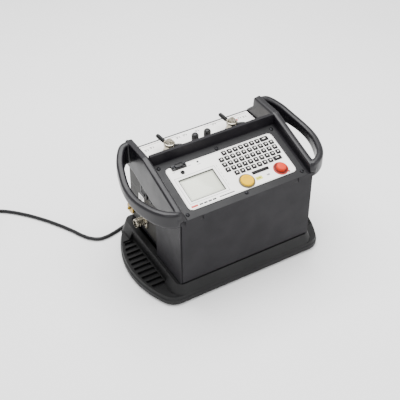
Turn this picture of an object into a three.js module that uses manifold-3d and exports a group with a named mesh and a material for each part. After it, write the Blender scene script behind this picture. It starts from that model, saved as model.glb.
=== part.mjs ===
// A portable high-current low-resistance ohmmeter: a case on a wide foot tray, a sloping control panel
// with a full keyboard, two bow handles, four rear terminals and a mains lead.
// Millimetres. X runs to the right, Y to the back and Z up. The origin is the middle of the foot
// tray's underside, on the surface that the instrument stands on.
import * as THREE from "three";
import { mergeVertices } from "three/addons/utils/BufferGeometryUtils.js";
import Module from "manifold-3d";

const wasm = await Module();
wasm.setup();

// ---------------------------------------------------------------- driving dimensions

const GAP = 0.3; // clearance between pieces that touch
const DEG = Math.PI / 180;

// Foot tray
const TRAY_HALF_X = 204;
const TRAY_HALF_Y = 125;
const TRAY_END_RADIUS = 204; // each end of the tray is an arc
const TRAY_END_Y = -12; // the arcs' widest point lies a little forward
const TRAY_CORNER = 34;
const TRAY_LIP_Z = 22;
const TRAY_BAND_Z = 14; // height of the upright band round the foot
const TRAY_FLOOR_Z = 8;
const TRAY_TOP_Z = 45;
const TRAY_SLOPE = 8; // how far the front face leans back
const TRAY_WALL = 6;
const TRAY_RIB_PITCH = 15;
const TRAY_RIB_SLOT = 9.5;
const TRAY_RIB_COUNT = 10;
const TRAY_RIB_DEPTH = 8;
const TRAY_RIM = 9;
const FOOT_RADIUS = 13;
const FOOT_DROP = 2; // the rubber feet stand this far below the tray

// Case
const CASE_HALF_X = 148;
const CASE_BACK_Y = 110;
const CASE_WALL = 4;
const CASE_SHADOW_GAP = 1.5; // dark joint between the tray and the case
const SEAM_WIDTH = 2.6; // groove where the front moulding meets the left side
const SEAM_DEPTH = 1.6;
const NICHE_DEPTH = 11;
const NICHE_FRONT_Y = -18;
const NICHE_TOP_Z = 200;

// Control panel. Places on it are given as x and v, the distance up the slope from its front edge.
const RAIL_INSET = 9; // the handles' rails reach this far in over the case
const PANEL_HALF_X = CASE_HALF_X - RAIL_INSET - 5.6;
const PANEL_FRONT_Y = -118;
const PANEL_FRONT_Z = 204;
const PANEL_LENGTH = 134;
const PANEL_SLOPE = 16.4 * DEG;
const PANEL_THICK = 3;
const LABEL_THICK = 0.8;
const LABEL_HALF_X = PANEL_HALF_X - 14.4;
const LABEL_FRONT = 16.2;
const LABEL_BACK = PANEL_LENGTH - 16;
const LABEL_CORNER = 9;
const LCD = { x0: -107, x1: -31.5, v0: 33, v1: 86, depth: 2.5 };
const KEY_PITCH = 12.7;
const KEY_SIZE = KEY_PITCH - 3.1;
const KEY_RISE = 1.4;
const KEY_FIRST_X = -5.7;
const KEY_BACK_V = 109;
const SPACE_BAR = { x: 51.5, v: 44.8, width: 37, depth: 6.5 };
const TEST_KEY = { x: 14, v: 33, radius: 13, rise: 5 };
const STOP_KEY = { x: 91, v: 33, radius: 9.6, rise: 9 };
const BUTTON_RING = 2.4;
const BUTTON_CLEARANCE = 0.4;
const SCREW_X = PANEL_HALF_X - 6.4;
const SCREW_V = [12, PANEL_LENGTH - 8];
const SCREW_RADIUS = 3.4;
const SCREW_HOLE = 1.8;
const SERIAL = { x: -90, v: 115, width: 31, depth: 12.5, rise: 7 };
const AUX_JACK = { x: -89.2, v: 99.6, radius: 3.6, rise: 2.5 };
const LED = { x: -50.5, v: 111.2, radius: 2, rise: 1.2 };

// Top frame
const CASE_FRONT_Y = PANEL_FRONT_Y + 3;
const FRAME_FRONT_Y = PANEL_FRONT_Y - 2;
const FRAME_THICK = 9;
const PANEL_LEDGE = 9;
const BAR_FRONT_Y = PANEL_FRONT_Y + PANEL_LENGTH * Math.cos(PANEL_SLOPE) + 1.5;
const BAR_BACK_Y = BAR_FRONT_Y + 7;
const BAR_TOP_Z = 264.5;
const STRIP_Z = 217;
const STRIP_THICK = 3;
const STRIP_DEEP = 12;
const RAIL_INNER_X = CASE_HALF_X - RAIL_INSET;

// Handles
const RAIL_OUTSET = 5;
const RAIL_OUTER_X = CASE_HALF_X + RAIL_OUTSET;
const HANDLE_BACK_Y = 86;
const HANDLE_FRONT_Y = PANEL_FRONT_Y;
const BOW_WIDTH = 14.5;

// Rear terminals
const TERMINAL_Y = BAR_BACK_Y + 41;
const CURRENT_X = 71.5;
const POTENTIAL_X = 14;
const CURRENT_STUD = { radius: 7, shank: 5, top: 33 };
const INSULATOR = { radius: 15, height: 4 };
const WING_NUT = { hub: 12.5, height: 21, root: 9, length: 25, half: 4.7 };
const WING_RISE = 25 * DEG; // how far each wing leans up
const WING_TURN = 115 * DEG; // where the rear wing points, from +X
const POST = { radius: 3, flange: 6.5, top: 23 };
const CAP = { radius: 7.2, top: 27, wall: 3 };

// Side panel in the left niche
const SIDE_PLATE_THICK = 2;
const SIDE_PLATE = { y0: -15, y1: 104, z0: 60, z1: 190 };
const SWITCH = { y: 41, z: 167, width: 22, height: 30, rim: 2, rise: 3.4 };
const ROCKER = { width: 15, height: 21, rise: 7, tilt: 8 * DEG };
const FUSE = { y: -3, z: 175, radius: 8.5, cap: 6.2, length: 12 };
const EARTH = { y: 80, z: 99, radius: 3, flange: 7, length: 22, knob: 13, thick: 11 };
const REMOTE = { y: 47, z: 84, flange: 27, radius: 9.5, length: 22 };

// Mains inlet, lead and plug
const INLET = { x: -60, z: 78, width: 30, height: 24, flange: 5, wall: 2, depth: 18 };
const CONNECTOR_LENGTH = 31;
const RELIEF = { length: 26, root: 7, tip: 4.6 };
const CORD_RADIUS = 3.75;
const CORD_SIDES = 10;
const CORD_STEPS = 34;
const COIL = { x: -430, y: 303, mean: 41, band: 22.5, height: 15.2 };
const PLUG = { z: 11.25, body: 38, width: 27, height: 22, pin: 18 };

// Inside the case
const BOARD_Z = 130;
const BOARD_THICK = 1.6;
const FAN = { x: CASE_HALF_X - CASE_WALL - 14, y: 46, z: 118, half: 30, depth: 24, rotor: 25, clearance: 2 };

// The lead's way from its connector to the coil, chosen by hand.
const CORD_ROUTE = [
  [-60, 172.9, 78], [-60, 187, 77.6], [-60.2, 201, 73.5], [-61, 213, 64.5],
  [-62.5, 220.5, 50.5], [-65.5, 221.5, 35], [-71, 215.5, 21.5], [-79, 203.5, 11],
  [-89, 188, 5.3], [-99.5, 172, 4], [-111, 156.5, 3.9], [-125, 144.5, 3.9],
  [-141.5, 136.5, 3.9], [-160, 130.5, 3.9], [-178, 125.5, 3.9], [-196, 123, 3.9],
  [-211, 125.5, 3.9], [-223.5, 134.5, 3.9], [-234, 148.5, 3.9], [-248, 177, 3.9],
  [-266, 209, 3.9], [-292, 248, 3.9], [-322, 284.5, 3.9], [-349, 309.6, 3.9],
  [-380.6, 329.4, 3.9],
];

// ---------------------------------------------------------------- materials

const finish = (color, roughness, metalness = 0) =>
  new THREE.MeshStandardMaterial({ color, roughness, metalness });
const charcoal = finish("#3d3c40", 0.62);
const darkTray = finish("#26282a", 0.72);
const rubber = finish("#161616", 0.9);
const panelGrey = finish("#77777a", 0.5);
const labelWhite = finish("#eceae6", 0.45);
const lcdGrey = finish("#d9dccf", 0.25);
const black = finish("#141415", 0.5);
const yellow = finish("#e8d36a", 0.4);
const red = finish("#d9604a", 0.4);
const nickel = finish("#b9b5ac", 0.3, 0.9);
const brass = finish("#b49a55", 0.35, 0.9);
const copper = finish("#b06a45", 0.4, 0.9);
const steel = finish("#8e9093", 0.4, 0.8);
const circuitGreen = finish("#2c5a3c", 0.6);
const windings = finish("#7a4a28", 0.6);

// ---------------------------------------------------------------- shape helpers

const group = new THREE.Group();

function solid(geometry) {
  const plain = geometry.index ? geometry.toNonIndexed() : geometry.clone();
  plain.deleteAttribute("normal");
  plain.deleteAttribute("uv");
  const merged = mergeVertices(plain, 1e-3);
  return new wasm.Manifold(
    new wasm.Mesh({
      numProp: 3,
      vertProperties: merged.attributes.position.array,
      triVerts: new Uint32Array(merged.index.array),
    }),
  );
}

function geometryOf(body) {
  const made = body.getMesh();
  const positions = new Float32Array(made.numVert * 3);
  for (let i = 0; i < made.numVert; i++) {
    positions.set(made.vertProperties.subarray(i * made.numProp, i * made.numProp + 3), i * 3);
  }
  return new THREE.BufferGeometry()
    .setAttribute("position", new THREE.BufferAttribute(positions, 3))
    .setIndex(new THREE.BufferAttribute(made.triVerts, 1));
}

const join = (first, ...others) => others.reduce((sum, other) => sum.add(other), first);
const cut = (first, ...others) => others.reduce((rest, other) => rest.subtract(other), first);

function box(x0, x1, y0, y1, z0, z1) {
  const shape = new THREE.BoxGeometry(x1 - x0, y1 - y0, z1 - z0);
  return solid(shape.translate((x0 + x1) / 2, (y0 + y1) / 2, (z0 + z1) / 2));
}

function shapeOf(points) {
  return new THREE.Shape(points.map(([x, y]) => new THREE.Vector2(x, y)));
}

// A plan outline raised from z0 to z1.
function raise(shape, z0, z1, curveSegments = 8) {
  const geometry = new THREE.ExtrudeGeometry(shape, {
    depth: z1 - z0,
    bevelEnabled: false,
    curveSegments,
  });
  return solid(geometry.translate(0, 0, z0));
}

// A side-view outline in (y, z), drawn out along X.
function across(points, x0, x1) {
  const geometry = new THREE.ExtrudeGeometry(shapeOf(points), {
    depth: x1 - x0,
    bevelEnabled: false,
  });
  geometry.rotateX(Math.PI / 2).rotateZ(Math.PI / 2);
  return solid(geometry.translate(x0, 0, 0));
}

function roundedRect(x0, x1, y0, y1, r) {
  const shape = new THREE.Shape();
  shape.moveTo(x0 + r, y0);
  shape.lineTo(x1 - r, y0);
  shape.absarc(x1 - r, y0 + r, r, -Math.PI / 2, 0);
  shape.lineTo(x1, y1 - r);
  shape.absarc(x1 - r, y1 - r, r, 0, Math.PI / 2);
  shape.lineTo(x0 + r, y1);
  shape.absarc(x0 + r, y1 - r, r, Math.PI / 2, Math.PI);
  shape.lineTo(x0, y0 + r);
  shape.absarc(x0 + r, y0 + r, r, Math.PI, 1.5 * Math.PI);
  return shape;
}

// A closed skin over rings of points, each ring convex and holding the same number of points.
function loft(rings) {
  const count = rings[0].length;
  const points = rings.flat();
  const faces = [];
  for (let i = 0; i + 1 < rings.length; i++) {
    for (let k = 0; k < count; k++) {
      const a = i * count + k;
      const b = i * count + ((k + 1) % count);
      faces.push(a, b, b + count, a, b + count, a + count);
    }
  }
  const last = (rings.length - 1) * count;
  for (let k = 1; k + 1 < count; k++) {
    faces.push(0, k + 1, k, last, last + k, last + k + 1);
  }
  const geometry = new THREE.BufferGeometry();
  geometry.setAttribute("position", new THREE.Float32BufferAttribute(points.flat(), 3));
  geometry.setIndex(faces);
  return solid(geometry);
}

// A turned piece about Z from (radius, height) pairs.
function turned(profile, segments = 24) {
  const points = profile.map(([r, z]) => new THREE.Vector2(r, z));
  return solid(new THREE.LatheGeometry(points, segments).rotateX(Math.PI / 2));
}

const disc = (radius, z0, z1, segments = 24) =>
  turned([[0, z0], [radius, z0], [radius, z1], [0, z1]], segments);

const ring = (inner, outer, z0, z1, segments = 24) =>
  turned([[inner, z0], [outer, z0], [outer, z1], [inner, z1], [inner, z0]], segments);

function add(name, body, material, parent = group) {
  const mesh = new THREE.Mesh(geometryOf(body), material);
  mesh.name = name;
  parent.add(mesh);
  return mesh;
}

// ---------------------------------------------------------------- foot tray

// Half of the tray's outline, drawn from the front edge round one end.
function trayOutline(inset = 0) {
  const radius = TRAY_END_RADIUS - inset;
  const corner = TRAY_CORNER - inset;
  const centreX = TRAY_HALF_X - TRAY_END_RADIUS;
  const frontY = -TRAY_HALF_Y + TRAY_CORNER;
  const backY = TRAY_HALF_Y - TRAY_CORNER;
  const cornerX = (y) => centreX + Math.sqrt((radius - corner) ** 2 - (y - TRAY_END_Y) ** 2);
  const frontTurn = Math.atan2(frontY - TRAY_END_Y, cornerX(frontY) - centreX);
  const backTurn = Math.atan2(backY - TRAY_END_Y, cornerX(backY) - centreX);
  const arc = (x, y, r, from, to, steps) =>
    Array.from({ length: steps + 1 }, (_, i) => {
      const turn = from + ((to - from) * i) / steps;
      return [x + r * Math.cos(turn), y + r * Math.sin(turn)];
    });
  const end = [
    ...arc(cornerX(frontY), frontY, corner, -Math.PI / 2, frontTurn, 5),
    ...arc(centreX, TRAY_END_Y, radius, frontTurn, backTurn, 14).slice(1, -1),
    ...arc(cornerX(backY), backY, corner, backTurn, Math.PI / 2, 5),
  ];
  return [...end, ...end.map(([x, y]) => [-x, y]).reverse()];
}

const level = (points, z) => points.map(([x, y]) => [x, y, z]);

const rectRing = (halfX, halfY, corner, z) =>
  roundedRect(-halfX, halfX, -halfY, halfY, corner)
    .getPoints(4)
    .slice(0, -1)
    .map((p) => [p.x, p.y, z]);

function footTray() {
  const slab = loft([
    level(trayOutline(3), FOOT_DROP),
    level(trayOutline(), FOOT_DROP + 3),
    level(trayOutline(), TRAY_BAND_Z),
    level(trayOutline(1.5), TRAY_BAND_Z + 1.5),
    level(trayOutline(2.5), TRAY_LIP_Z),
  ]);
  const plinthHalfX = CASE_HALF_X + TRAY_WALL;
  const plinth = loft([
    rectRing(plinthHalfX + 14, TRAY_HALF_Y - 1, 26, TRAY_BAND_Z),
    rectRing(plinthHalfX, TRAY_HALF_Y - TRAY_SLOPE, 14, TRAY_TOP_Z),
  ]);
  const room = box(
    -CASE_HALF_X + TRAY_WALL,
    CASE_HALF_X - TRAY_WALL,
    CASE_FRONT_Y + TRAY_WALL,
    CASE_BACK_Y - TRAY_WALL,
    TRAY_FLOOR_Z,
    TRAY_TOP_Z + 1,
  );
  let tray = cut(join(slab, plinth), room);
  const slotEnd = trayOutline(TRAY_RIM);
  const reach = raise(shapeOf(slotEnd), TRAY_LIP_Z - TRAY_RIB_DEPTH, TRAY_TOP_Z + 1);
  const wellStart = plinthHalfX + 4;
  const firstY = TRAY_END_Y + 10 - ((TRAY_RIB_COUNT - 1) * TRAY_RIB_PITCH) / 2;
  const wells = [-1, 1].flatMap((side) =>
    Array.from({ length: TRAY_RIB_COUNT }, (_, i) => {
      const y = firstY + i * TRAY_RIB_PITCH;
      const near = Math.min(side * wellStart, side * TRAY_HALF_X);
      const far = Math.max(side * wellStart, side * TRAY_HALF_X);
      const half = TRAY_RIB_SLOT / 2;
      return box(near, far, y - half, y + half, 0, TRAY_TOP_Z + 1).intersect(reach);
    }),
  );
  const shelfStart = wellStart - 2;
  const shelves = [-1, 1].map((side) =>
    box(
      Math.min(side * shelfStart, side * TRAY_HALF_X),
      Math.max(side * shelfStart, side * TRAY_HALF_X),
      firstY - TRAY_RIB_PITCH / 2,
      firstY + (TRAY_RIB_COUNT - 0.5) * TRAY_RIB_PITCH,
      TRAY_LIP_Z - 3,
      TRAY_TOP_Z + 1,
    ).intersect(raise(shapeOf(trayOutline(TRAY_RIM - 3)), 0, TRAY_TOP_Z + 2)),
  );
  tray = cut(tray, ...wells, ...shelves);
  for (const [x, y] of FOOT_PLACES) {
    tray = cut(tray, disc(FOOT_RADIUS + GAP, -1, FOOT_DROP + 3, 20).translate([x, y, 0]));
  }
  return tray;
}

const FOOT_PLACES = [-1, 1].flatMap((sx) =>
  [-1, 1].map((sy) => [sx * (TRAY_HALF_X - 54), sy * (TRAY_HALF_Y - 30)]));

function rubberFeet() {
  FOOT_PLACES.forEach(([x, y], i) => {
    const foot = turned(
      [[0, 0], [FOOT_RADIUS - 1.5, 0], [FOOT_RADIUS, 1.5], [FOOT_RADIUS, FOOT_DROP + 2.7],
        [0, FOOT_DROP + 2.7]],
      20,
    );
    add(`rubber_foot_${i + 1}`, foot, rubber).position.set(x, y, 0);
  });
}

// ---------------------------------------------------------------- case and top frame

const planeZ = (y) => PANEL_FRONT_Z + (y - PANEL_FRONT_Y) * Math.tan(PANEL_SLOPE);
const underFrameZ = (y) => planeZ(y) - FRAME_THICK;
const STRIP_UNDER_Z = STRIP_Z - STRIP_DEEP;
const NICHE_X = CASE_HALF_X - NICHE_DEPTH;
const CASE_BOTTOM_Z = TRAY_TOP_Z + CASE_SHADOW_GAP;

function caseShell() {
  const outline = (inset, lift) => [
    [CASE_FRONT_Y + inset, CASE_BOTTOM_Z - lift],
    [CASE_BACK_Y - inset, CASE_BOTTOM_Z - lift],
    [CASE_BACK_Y - inset, STRIP_UNDER_Z - GAP + lift],
    [BAR_FRONT_Y - GAP, STRIP_UNDER_Z - GAP + lift],
    [BAR_FRONT_Y - GAP, underFrameZ(BAR_FRONT_Y) - GAP + lift],
    [CASE_FRONT_Y + inset, underFrameZ(CASE_FRONT_Y) - GAP + lift],
  ];
  const inside = CASE_HALF_X - CASE_WALL;
  const shell = cut(
    across(outline(0, 0), -CASE_HALF_X, CASE_HALF_X),
    across(outline(CASE_WALL, 5), -inside, inside),
  );
  const niche = box(-CASE_HALF_X - 1, -NICHE_X, NICHE_FRONT_Y, CASE_BACK_Y + 1, 0, NICHE_TOP_Z);
  const lining = cut(
    box(-CASE_HALF_X, CASE_WALL - NICHE_X, NICHE_FRONT_Y - CASE_WALL, CASE_BACK_Y,
      CASE_BOTTOM_Z, NICHE_TOP_Z + CASE_WALL),
    niche,
  );
  const vents = Array.from({ length: 8 }, (_, i) =>
    box(inside - 1, CASE_HALF_X + 1, 10 + i * 10, 14 + i * 10, 90, 150),
  );
  const inletHole = box(
    INLET.x - INLET.width / 2 + 2 - GAP,
    INLET.x + INLET.width / 2 - 2 + GAP,
    CASE_BACK_Y - 20,
    CASE_BACK_Y + 1,
    INLET.z - INLET.height / 2 + 2 - GAP,
    INLET.z + INLET.height / 2 - 2 + GAP,
  );
  const sideHoles = [
    box(-CASE_HALF_X, -NICHE_X + 20, SWITCH.y - SWITCH.width / 2 - GAP,
      SWITCH.y + SWITCH.width / 2 + GAP, SWITCH.z - SWITCH.height / 2 - GAP,
      SWITCH.z + SWITCH.height / 2 + GAP),
    alongX(disc(FUSE.radius + GAP, -20, 20), -NICHE_X, FUSE.y, FUSE.z),
    alongX(disc(EARTH.radius + GAP, -20, 20), -NICHE_X, EARTH.y, EARTH.z),
    alongX(disc(REMOTE.radius + GAP, -20, 20), -NICHE_X, REMOTE.y, REMOTE.z),
  ];
  const seam = box(
    SEAM_WIDTH / 2 - CASE_HALF_X,
    1.5 * SEAM_WIDTH - CASE_HALF_X,
    CASE_FRONT_Y - 1,
    CASE_FRONT_Y + SEAM_DEPTH,
    0,
    300,
  );
  return cut(join(cut(shell, niche), lining), ...vents, inletHole, ...sideHoles, seam);
}

// Turns a piece made about Z so that its foot faces -X, at the given place.
function alongX(body, x, y, z) {
  const matrix = new THREE.Matrix4()
    .makeRotationY(-Math.PI / 2)
    .setPosition(x, y, z);
  return solid(geometryOf(body).applyMatrix4(matrix));
}

const panelMatrix = new THREE.Matrix4()
  .makeRotationX(PANEL_SLOPE)
  .setPosition(0, PANEL_FRONT_Y, PANEL_FRONT_Z);

const at = (body, x, v, h = 0) => body.translate([x, v, h]);

const onPanel = (body) => solid(geometryOf(body).applyMatrix4(panelMatrix));

function topFrame() {
  const lipTop = PANEL_FRONT_Z + 2;
  const deckLine = [
    [FRAME_FRONT_Y, underFrameZ(PANEL_FRONT_Y)],
    [CASE_FRONT_Y, underFrameZ(CASE_FRONT_Y)],
    [BAR_FRONT_Y, underFrameZ(BAR_FRONT_Y)],
    [BAR_FRONT_Y, STRIP_UNDER_Z],
    [CASE_BACK_Y + 2, STRIP_UNDER_Z],
    [CASE_BACK_Y + 2, STRIP_Z],
    [BAR_BACK_Y, STRIP_Z],
    [BAR_BACK_Y, planeZ(BAR_FRONT_Y)],
    [BAR_FRONT_Y, planeZ(BAR_FRONT_Y)],
    [PANEL_FRONT_Y - GAP, planeZ(PANEL_FRONT_Y)],
    [PANEL_FRONT_Y - GAP, lipTop],
    [FRAME_FRONT_Y, lipTop],
  ];
  const barLine = [
    [BAR_FRONT_Y, planeZ(BAR_FRONT_Y) - 5],
    [BAR_BACK_Y, planeZ(BAR_FRONT_Y) - 5],
    [BAR_BACK_Y, BAR_TOP_Z],
    [BAR_FRONT_Y, BAR_TOP_Z],
  ];
  const ends = box(-CASE_HALF_X, CASE_HALF_X, FRAME_FRONT_Y - 1, PANEL_FRONT_Y, 190, 300);
  const narrow = box(GAP - RAIL_INNER_X, RAIL_INNER_X - GAP, -200, 0, 190, 300);
  const deck = cut(across(deckLine, -CASE_HALF_X, CASE_HALF_X), cut(ends, narrow));
  const bar = across(barLine, GAP - RAIL_INNER_X, RAIL_INNER_X - GAP);
  const half = PANEL_HALF_X + GAP;
  const pocket = onPanel(box(-half, half, -GAP, PANEL_LENGTH + GAP, -PANEL_THICK - GAP, 30));
  const reach = PANEL_HALF_X - PANEL_LEDGE;
  const opening = onPanel(box(-reach, reach, PANEL_LEDGE - 1, PANEL_LENGTH - PANEL_LEDGE, -40, 5));
  const deckReach = RAIL_INNER_X - 29;
  const deckOpening = box(-deckReach, deckReach, BAR_BACK_Y + 8, CASE_BACK_Y - 12, 190,
    STRIP_Z - STRIP_THICK);
  const holes = terminalHoles();
  const pockets = join(
    cut(pocket, box(-200, 200, BAR_FRONT_Y, 200, 0, 300)),
    opening,
  );
  const catches = [-106, 106].map((x) => box(x - 5, x + 5, -130, FRAME_FRONT_Y + 1.2, 190, 300));
  const tapped = screwPlaces().map(([x, v]) => onPanel(at(disc(SCREW_HOLE, -20, 0, 10), x, v)));
  return cut(join(deck, bar), pockets, deckOpening, ...holes, ...catches, ...tapped);
}

// ---------------------------------------------------------------- control panel

const panel = new THREE.Group();
panel.position.set(0, PANEL_FRONT_Y, PANEL_FRONT_Z);
panel.rotation.x = PANEL_SLOPE;
group.add(panel);

const LABEL_Z = GAP;
const LABEL_TOP = LABEL_Z + LABEL_THICK;

function keyPlaces() {
  const rows = [
    { first: 1, count: 7, wide: 8.25 },
    { first: 0, count: 10 },
    { first: 0, count: 10 },
    { first: 0, count: 10 },
    { first: 1, count: 7, wide: 8.25 },
  ];
  return rows.flatMap(({ first, count, wide }, row) => {
    const v = KEY_BACK_V - row * KEY_PITCH;
    const keys = Array.from({ length: count }, (_, i) => ({
      x: KEY_FIRST_X + (first + i) * KEY_PITCH,
      v,
      width: KEY_SIZE,
      depth: KEY_SIZE,
    }));
    if (wide) {
      const x = KEY_FIRST_X + wide * KEY_PITCH;
      keys.push({ x, v, width: KEY_SIZE + 8, depth: KEY_SIZE });
    }
    return keys;
  });
}

const ALL_KEYS = [...keyPlaces(), SPACE_BAR];

const keyBlock = ({ x, v, width, depth }, grow, z0, z1) =>
  box(x - width / 2 - grow, x + width / 2 + grow, v - depth / 2 - grow, v + depth / 2 + grow, z0, z1);

// The rows' rectangle with a tongue for the space bar between the two push buttons.
function keypadRoom(inset, z0, z1) {
  const frontV = KEY_BACK_V - 4.5 * KEY_PITCH;
  const rows = box(
    KEY_FIRST_X - KEY_PITCH / 2 + inset,
    KEY_FIRST_X + 9.5 * KEY_PITCH - inset,
    frontV + inset,
    KEY_BACK_V + KEY_PITCH / 2 - inset,
    z0,
    z1,
  );
  const tongue = keyBlock(SPACE_BAR, 1.2 - inset, z0, z1);
  const { x, v, width } = SPACE_BAR;
  const neck = box(x - width / 2 - 1.2 + inset, x + width / 2 + 1.2 - inset, v, frontV + 1, z0, z1);
  return join(rows, tongue, neck);
}

function controlPanel() {
  const plate = box(-PANEL_HALF_X, PANEL_HALF_X, 0, PANEL_LENGTH, -PANEL_THICK, 0);
  const windowHole = box(LCD.x0, LCD.x1, LCD.v0, LCD.v1, -PANEL_THICK - 1, 5);
  const keyOpening = keypadRoom(0, -PANEL_THICK - 1, 5);
  const buttonHoles = [TEST_KEY, STOP_KEY].map(({ x, v, radius }) =>
    at(disc(radius + BUTTON_RING + GAP, -20, 20, 32), x, v),
  );
  const screwHoles = screwPlaces().map(([x, v]) => at(disc(SCREW_HOLE, -20, 20, 10), x, v));
  const portHole = keyBlock({ ...SERIAL, width: SERIAL.width - 6, depth: SERIAL.depth - 3 },
    GAP, -20, 20);
  const smallHoles = [
    at(disc(AUX_JACK.radius + GAP, -20, 20, 16), AUX_JACK.x, AUX_JACK.v),
    at(disc(LED.radius + GAP, -20, 20, 12), LED.x, LED.v),
  ];
  const through = [windowHole, ...buttonHoles, portHole, ...smallHoles];
  add("panel_plate", cut(plate, keyOpening, ...through, ...screwHoles), panelGrey, panel);
  const label = raise(
    roundedRect(-LABEL_HALF_X, LABEL_HALF_X, LABEL_FRONT, LABEL_BACK, LABEL_CORNER),
    LABEL_Z,
    LABEL_TOP,
    4,
  );
  const keyHoles = ALL_KEYS.map((key) => keyBlock(key, GAP, -5, 5));
  const portRest = keyBlock(SERIAL, GAP, -5, 5);
  add("panel_label", cut(label, ...keyHoles, ...through, portRest), labelWhite, panel);
}

const screwPlaces = () => SCREW_V.flatMap((v) => [-SCREW_X, 0, SCREW_X].map((x) => [x, v]));

function panelScrews() {
  screwPlaces().forEach(([x, v], i) => {
    const head = turned(
      [[0, -8], [1.4, -8], [1.4, GAP], [SCREW_RADIUS, GAP], [SCREW_RADIUS, 1.2],
        [SCREW_RADIUS - 1, 2.2], [0, 2.2]],
      12,
    );
    add(`panel_screw_${i + 1}`, head, black, panel).position.set(x, v, 0);
  });
}

function display() {
  const pane = box(LCD.x0 + GAP, LCD.x1 - GAP, LCD.v0 + GAP, LCD.v1 - GAP, -LCD.depth, -1);
  add("lcd_window", pane, lcdGrey, panel);
  const module = box(LCD.x0 - 4, LCD.x1 + 4, LCD.v0 - 5, LCD.v1 + 5, -12, -PANEL_THICK - GAP);
  add("lcd_module", module, circuitGreen, panel);
}

function keypad() {
  const mat = keypadRoom(GAP, -PANEL_THICK, 0);
  const keys = ALL_KEYS.map((key) => keyBlock(key, 0, -1, LABEL_TOP + KEY_RISE));
  add("keypad_mat", join(mat, ...keys), black, panel);
}

function pushButton(name, { x, v, radius, rise }, capMaterial, ringMaterial) {
  const inner = radius + BUTTON_CLEARANCE;
  const bezel = turned(
    [[inner, -9], [radius + BUTTON_RING, -9], [radius + BUTTON_RING, LABEL_TOP + GAP],
      [radius + BUTTON_RING + 0.8, LABEL_TOP + GAP], [radius + BUTTON_RING + 0.4, LABEL_TOP + 2],
      [inner, LABEL_TOP + 2.2], [inner, -9]],
    32,
  );
  add(`${name}_bezel`, bezel, ringMaterial, panel).position.set(x, v, 0);
  const cap = turned(
    [[0, -7], [radius, -7], [radius, LABEL_TOP + rise - 1.5], [radius - 1.8, LABEL_TOP + rise],
      [0, LABEL_TOP + rise + 0.4]],
    32,
  );
  add(`${name}_button`, cap, capMaterial, panel).position.set(x, v, 0);
}

function panelConnectors() {
  const { x, v, width, depth, rise } = SERIAL;
  const port = join(
    box(x - width / 2, x + width / 2, v - depth / 2, v + depth / 2, LABEL_TOP + GAP, rise),
    box(x - width / 2 + 3.5, x + width / 2 - 3.5, v - depth / 2 + 2, v + depth / 2 - 2, -8, 3),
  );
  const socket = box(x - width / 2 + 6, x + width / 2 - 6, v - depth / 2 + 3, v + depth / 2 - 3,
    rise - 3.5, rise + 1);
  add("serial_port", cut(port, socket), black, panel);
  const jack = ring(1.3, AUX_JACK.radius, -6, LABEL_TOP + AUX_JACK.rise, 16);
  add("aux_jack", join(jack, disc(1.6, -6, -3, 16)), black, panel).position.set(
    AUX_JACK.x, AUX_JACK.v, 0);
  const lamp = turned(
    [[0, -4], [LED.radius, -4], [LED.radius, LABEL_TOP + LED.rise - 0.6], [1.2, LABEL_TOP + LED.rise],
      [0, LABEL_TOP + LED.rise + 0.2]],
    12,
  );
  add("status_led", lamp, red, panel).position.set(LED.x, LED.v, 0);
}

// ---------------------------------------------------------------- handles

// The bow's stops: how far its middle stands out from the case, and its top and bottom heights.
const BOW_STOPS = [
  { out: -2, y: 78, top: 262, bottom: 217 },
  { out: 17, y: 75, top: 262, bottom: 216 },
  { out: 34, y: 53, top: 252.5, bottom: 216 },
  { out: 43, y: 29, top: 243, bottom: 214.5 },
  { out: 50, y: 1, top: 235, bottom: 211 },
  { out: 52, y: -26, top: 231, bottom: 206.5 },
  { out: 48, y: -53, top: 229.5, bottom: 202 },
  { out: 36.5, y: -83, top: 228.5, bottom: 197 },
  { out: 23.5, y: -100, top: 227.5, bottom: 194 },
  { out: 9, y: -108.5, top: 226, bottom: 191.5 },
  { out: -2, y: -110, top: 224.5, bottom: 190 },
];
const BOW_STEPS = 22;
const BOW_EDGE = 4;

function bow() {
  const middle = new THREE.CatmullRomCurve3(
    BOW_STOPS.map(({ out, y }) => new THREE.Vector3(CASE_HALF_X + out, y, 0)), false, "centripetal");
  const heights = new THREE.CatmullRomCurve3(
    BOW_STOPS.map(({ top, bottom }, i) => new THREE.Vector3(top, bottom, i)), false, "catmullrom");
  const rings = Array.from({ length: BOW_STEPS + 1 }, (_, i) => {
    const t = i / BOW_STEPS;
    const centre = middle.getPoint(t);
    const tangent = middle.getTangent(t);
    const height = heights.getPoint(t);
    const [top, bottom] = [height.x, height.y];
    const half = BOW_WIDTH / 2;
    const section = [
      [-half, bottom + BOW_EDGE], [-half + BOW_EDGE, bottom], [half - BOW_EDGE, bottom],
      [half, bottom + BOW_EDGE], [half, top - BOW_EDGE], [half - 1.2, top - 1.2],
      [half - BOW_EDGE, top], [-half + 2, top], [-half, top - 2],
    ];
    return section.map(([out, z]) => [
      centre.x - tangent.y * out, centre.y + tangent.x * out, z]);
  });
  return loft(rings);
}

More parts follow.
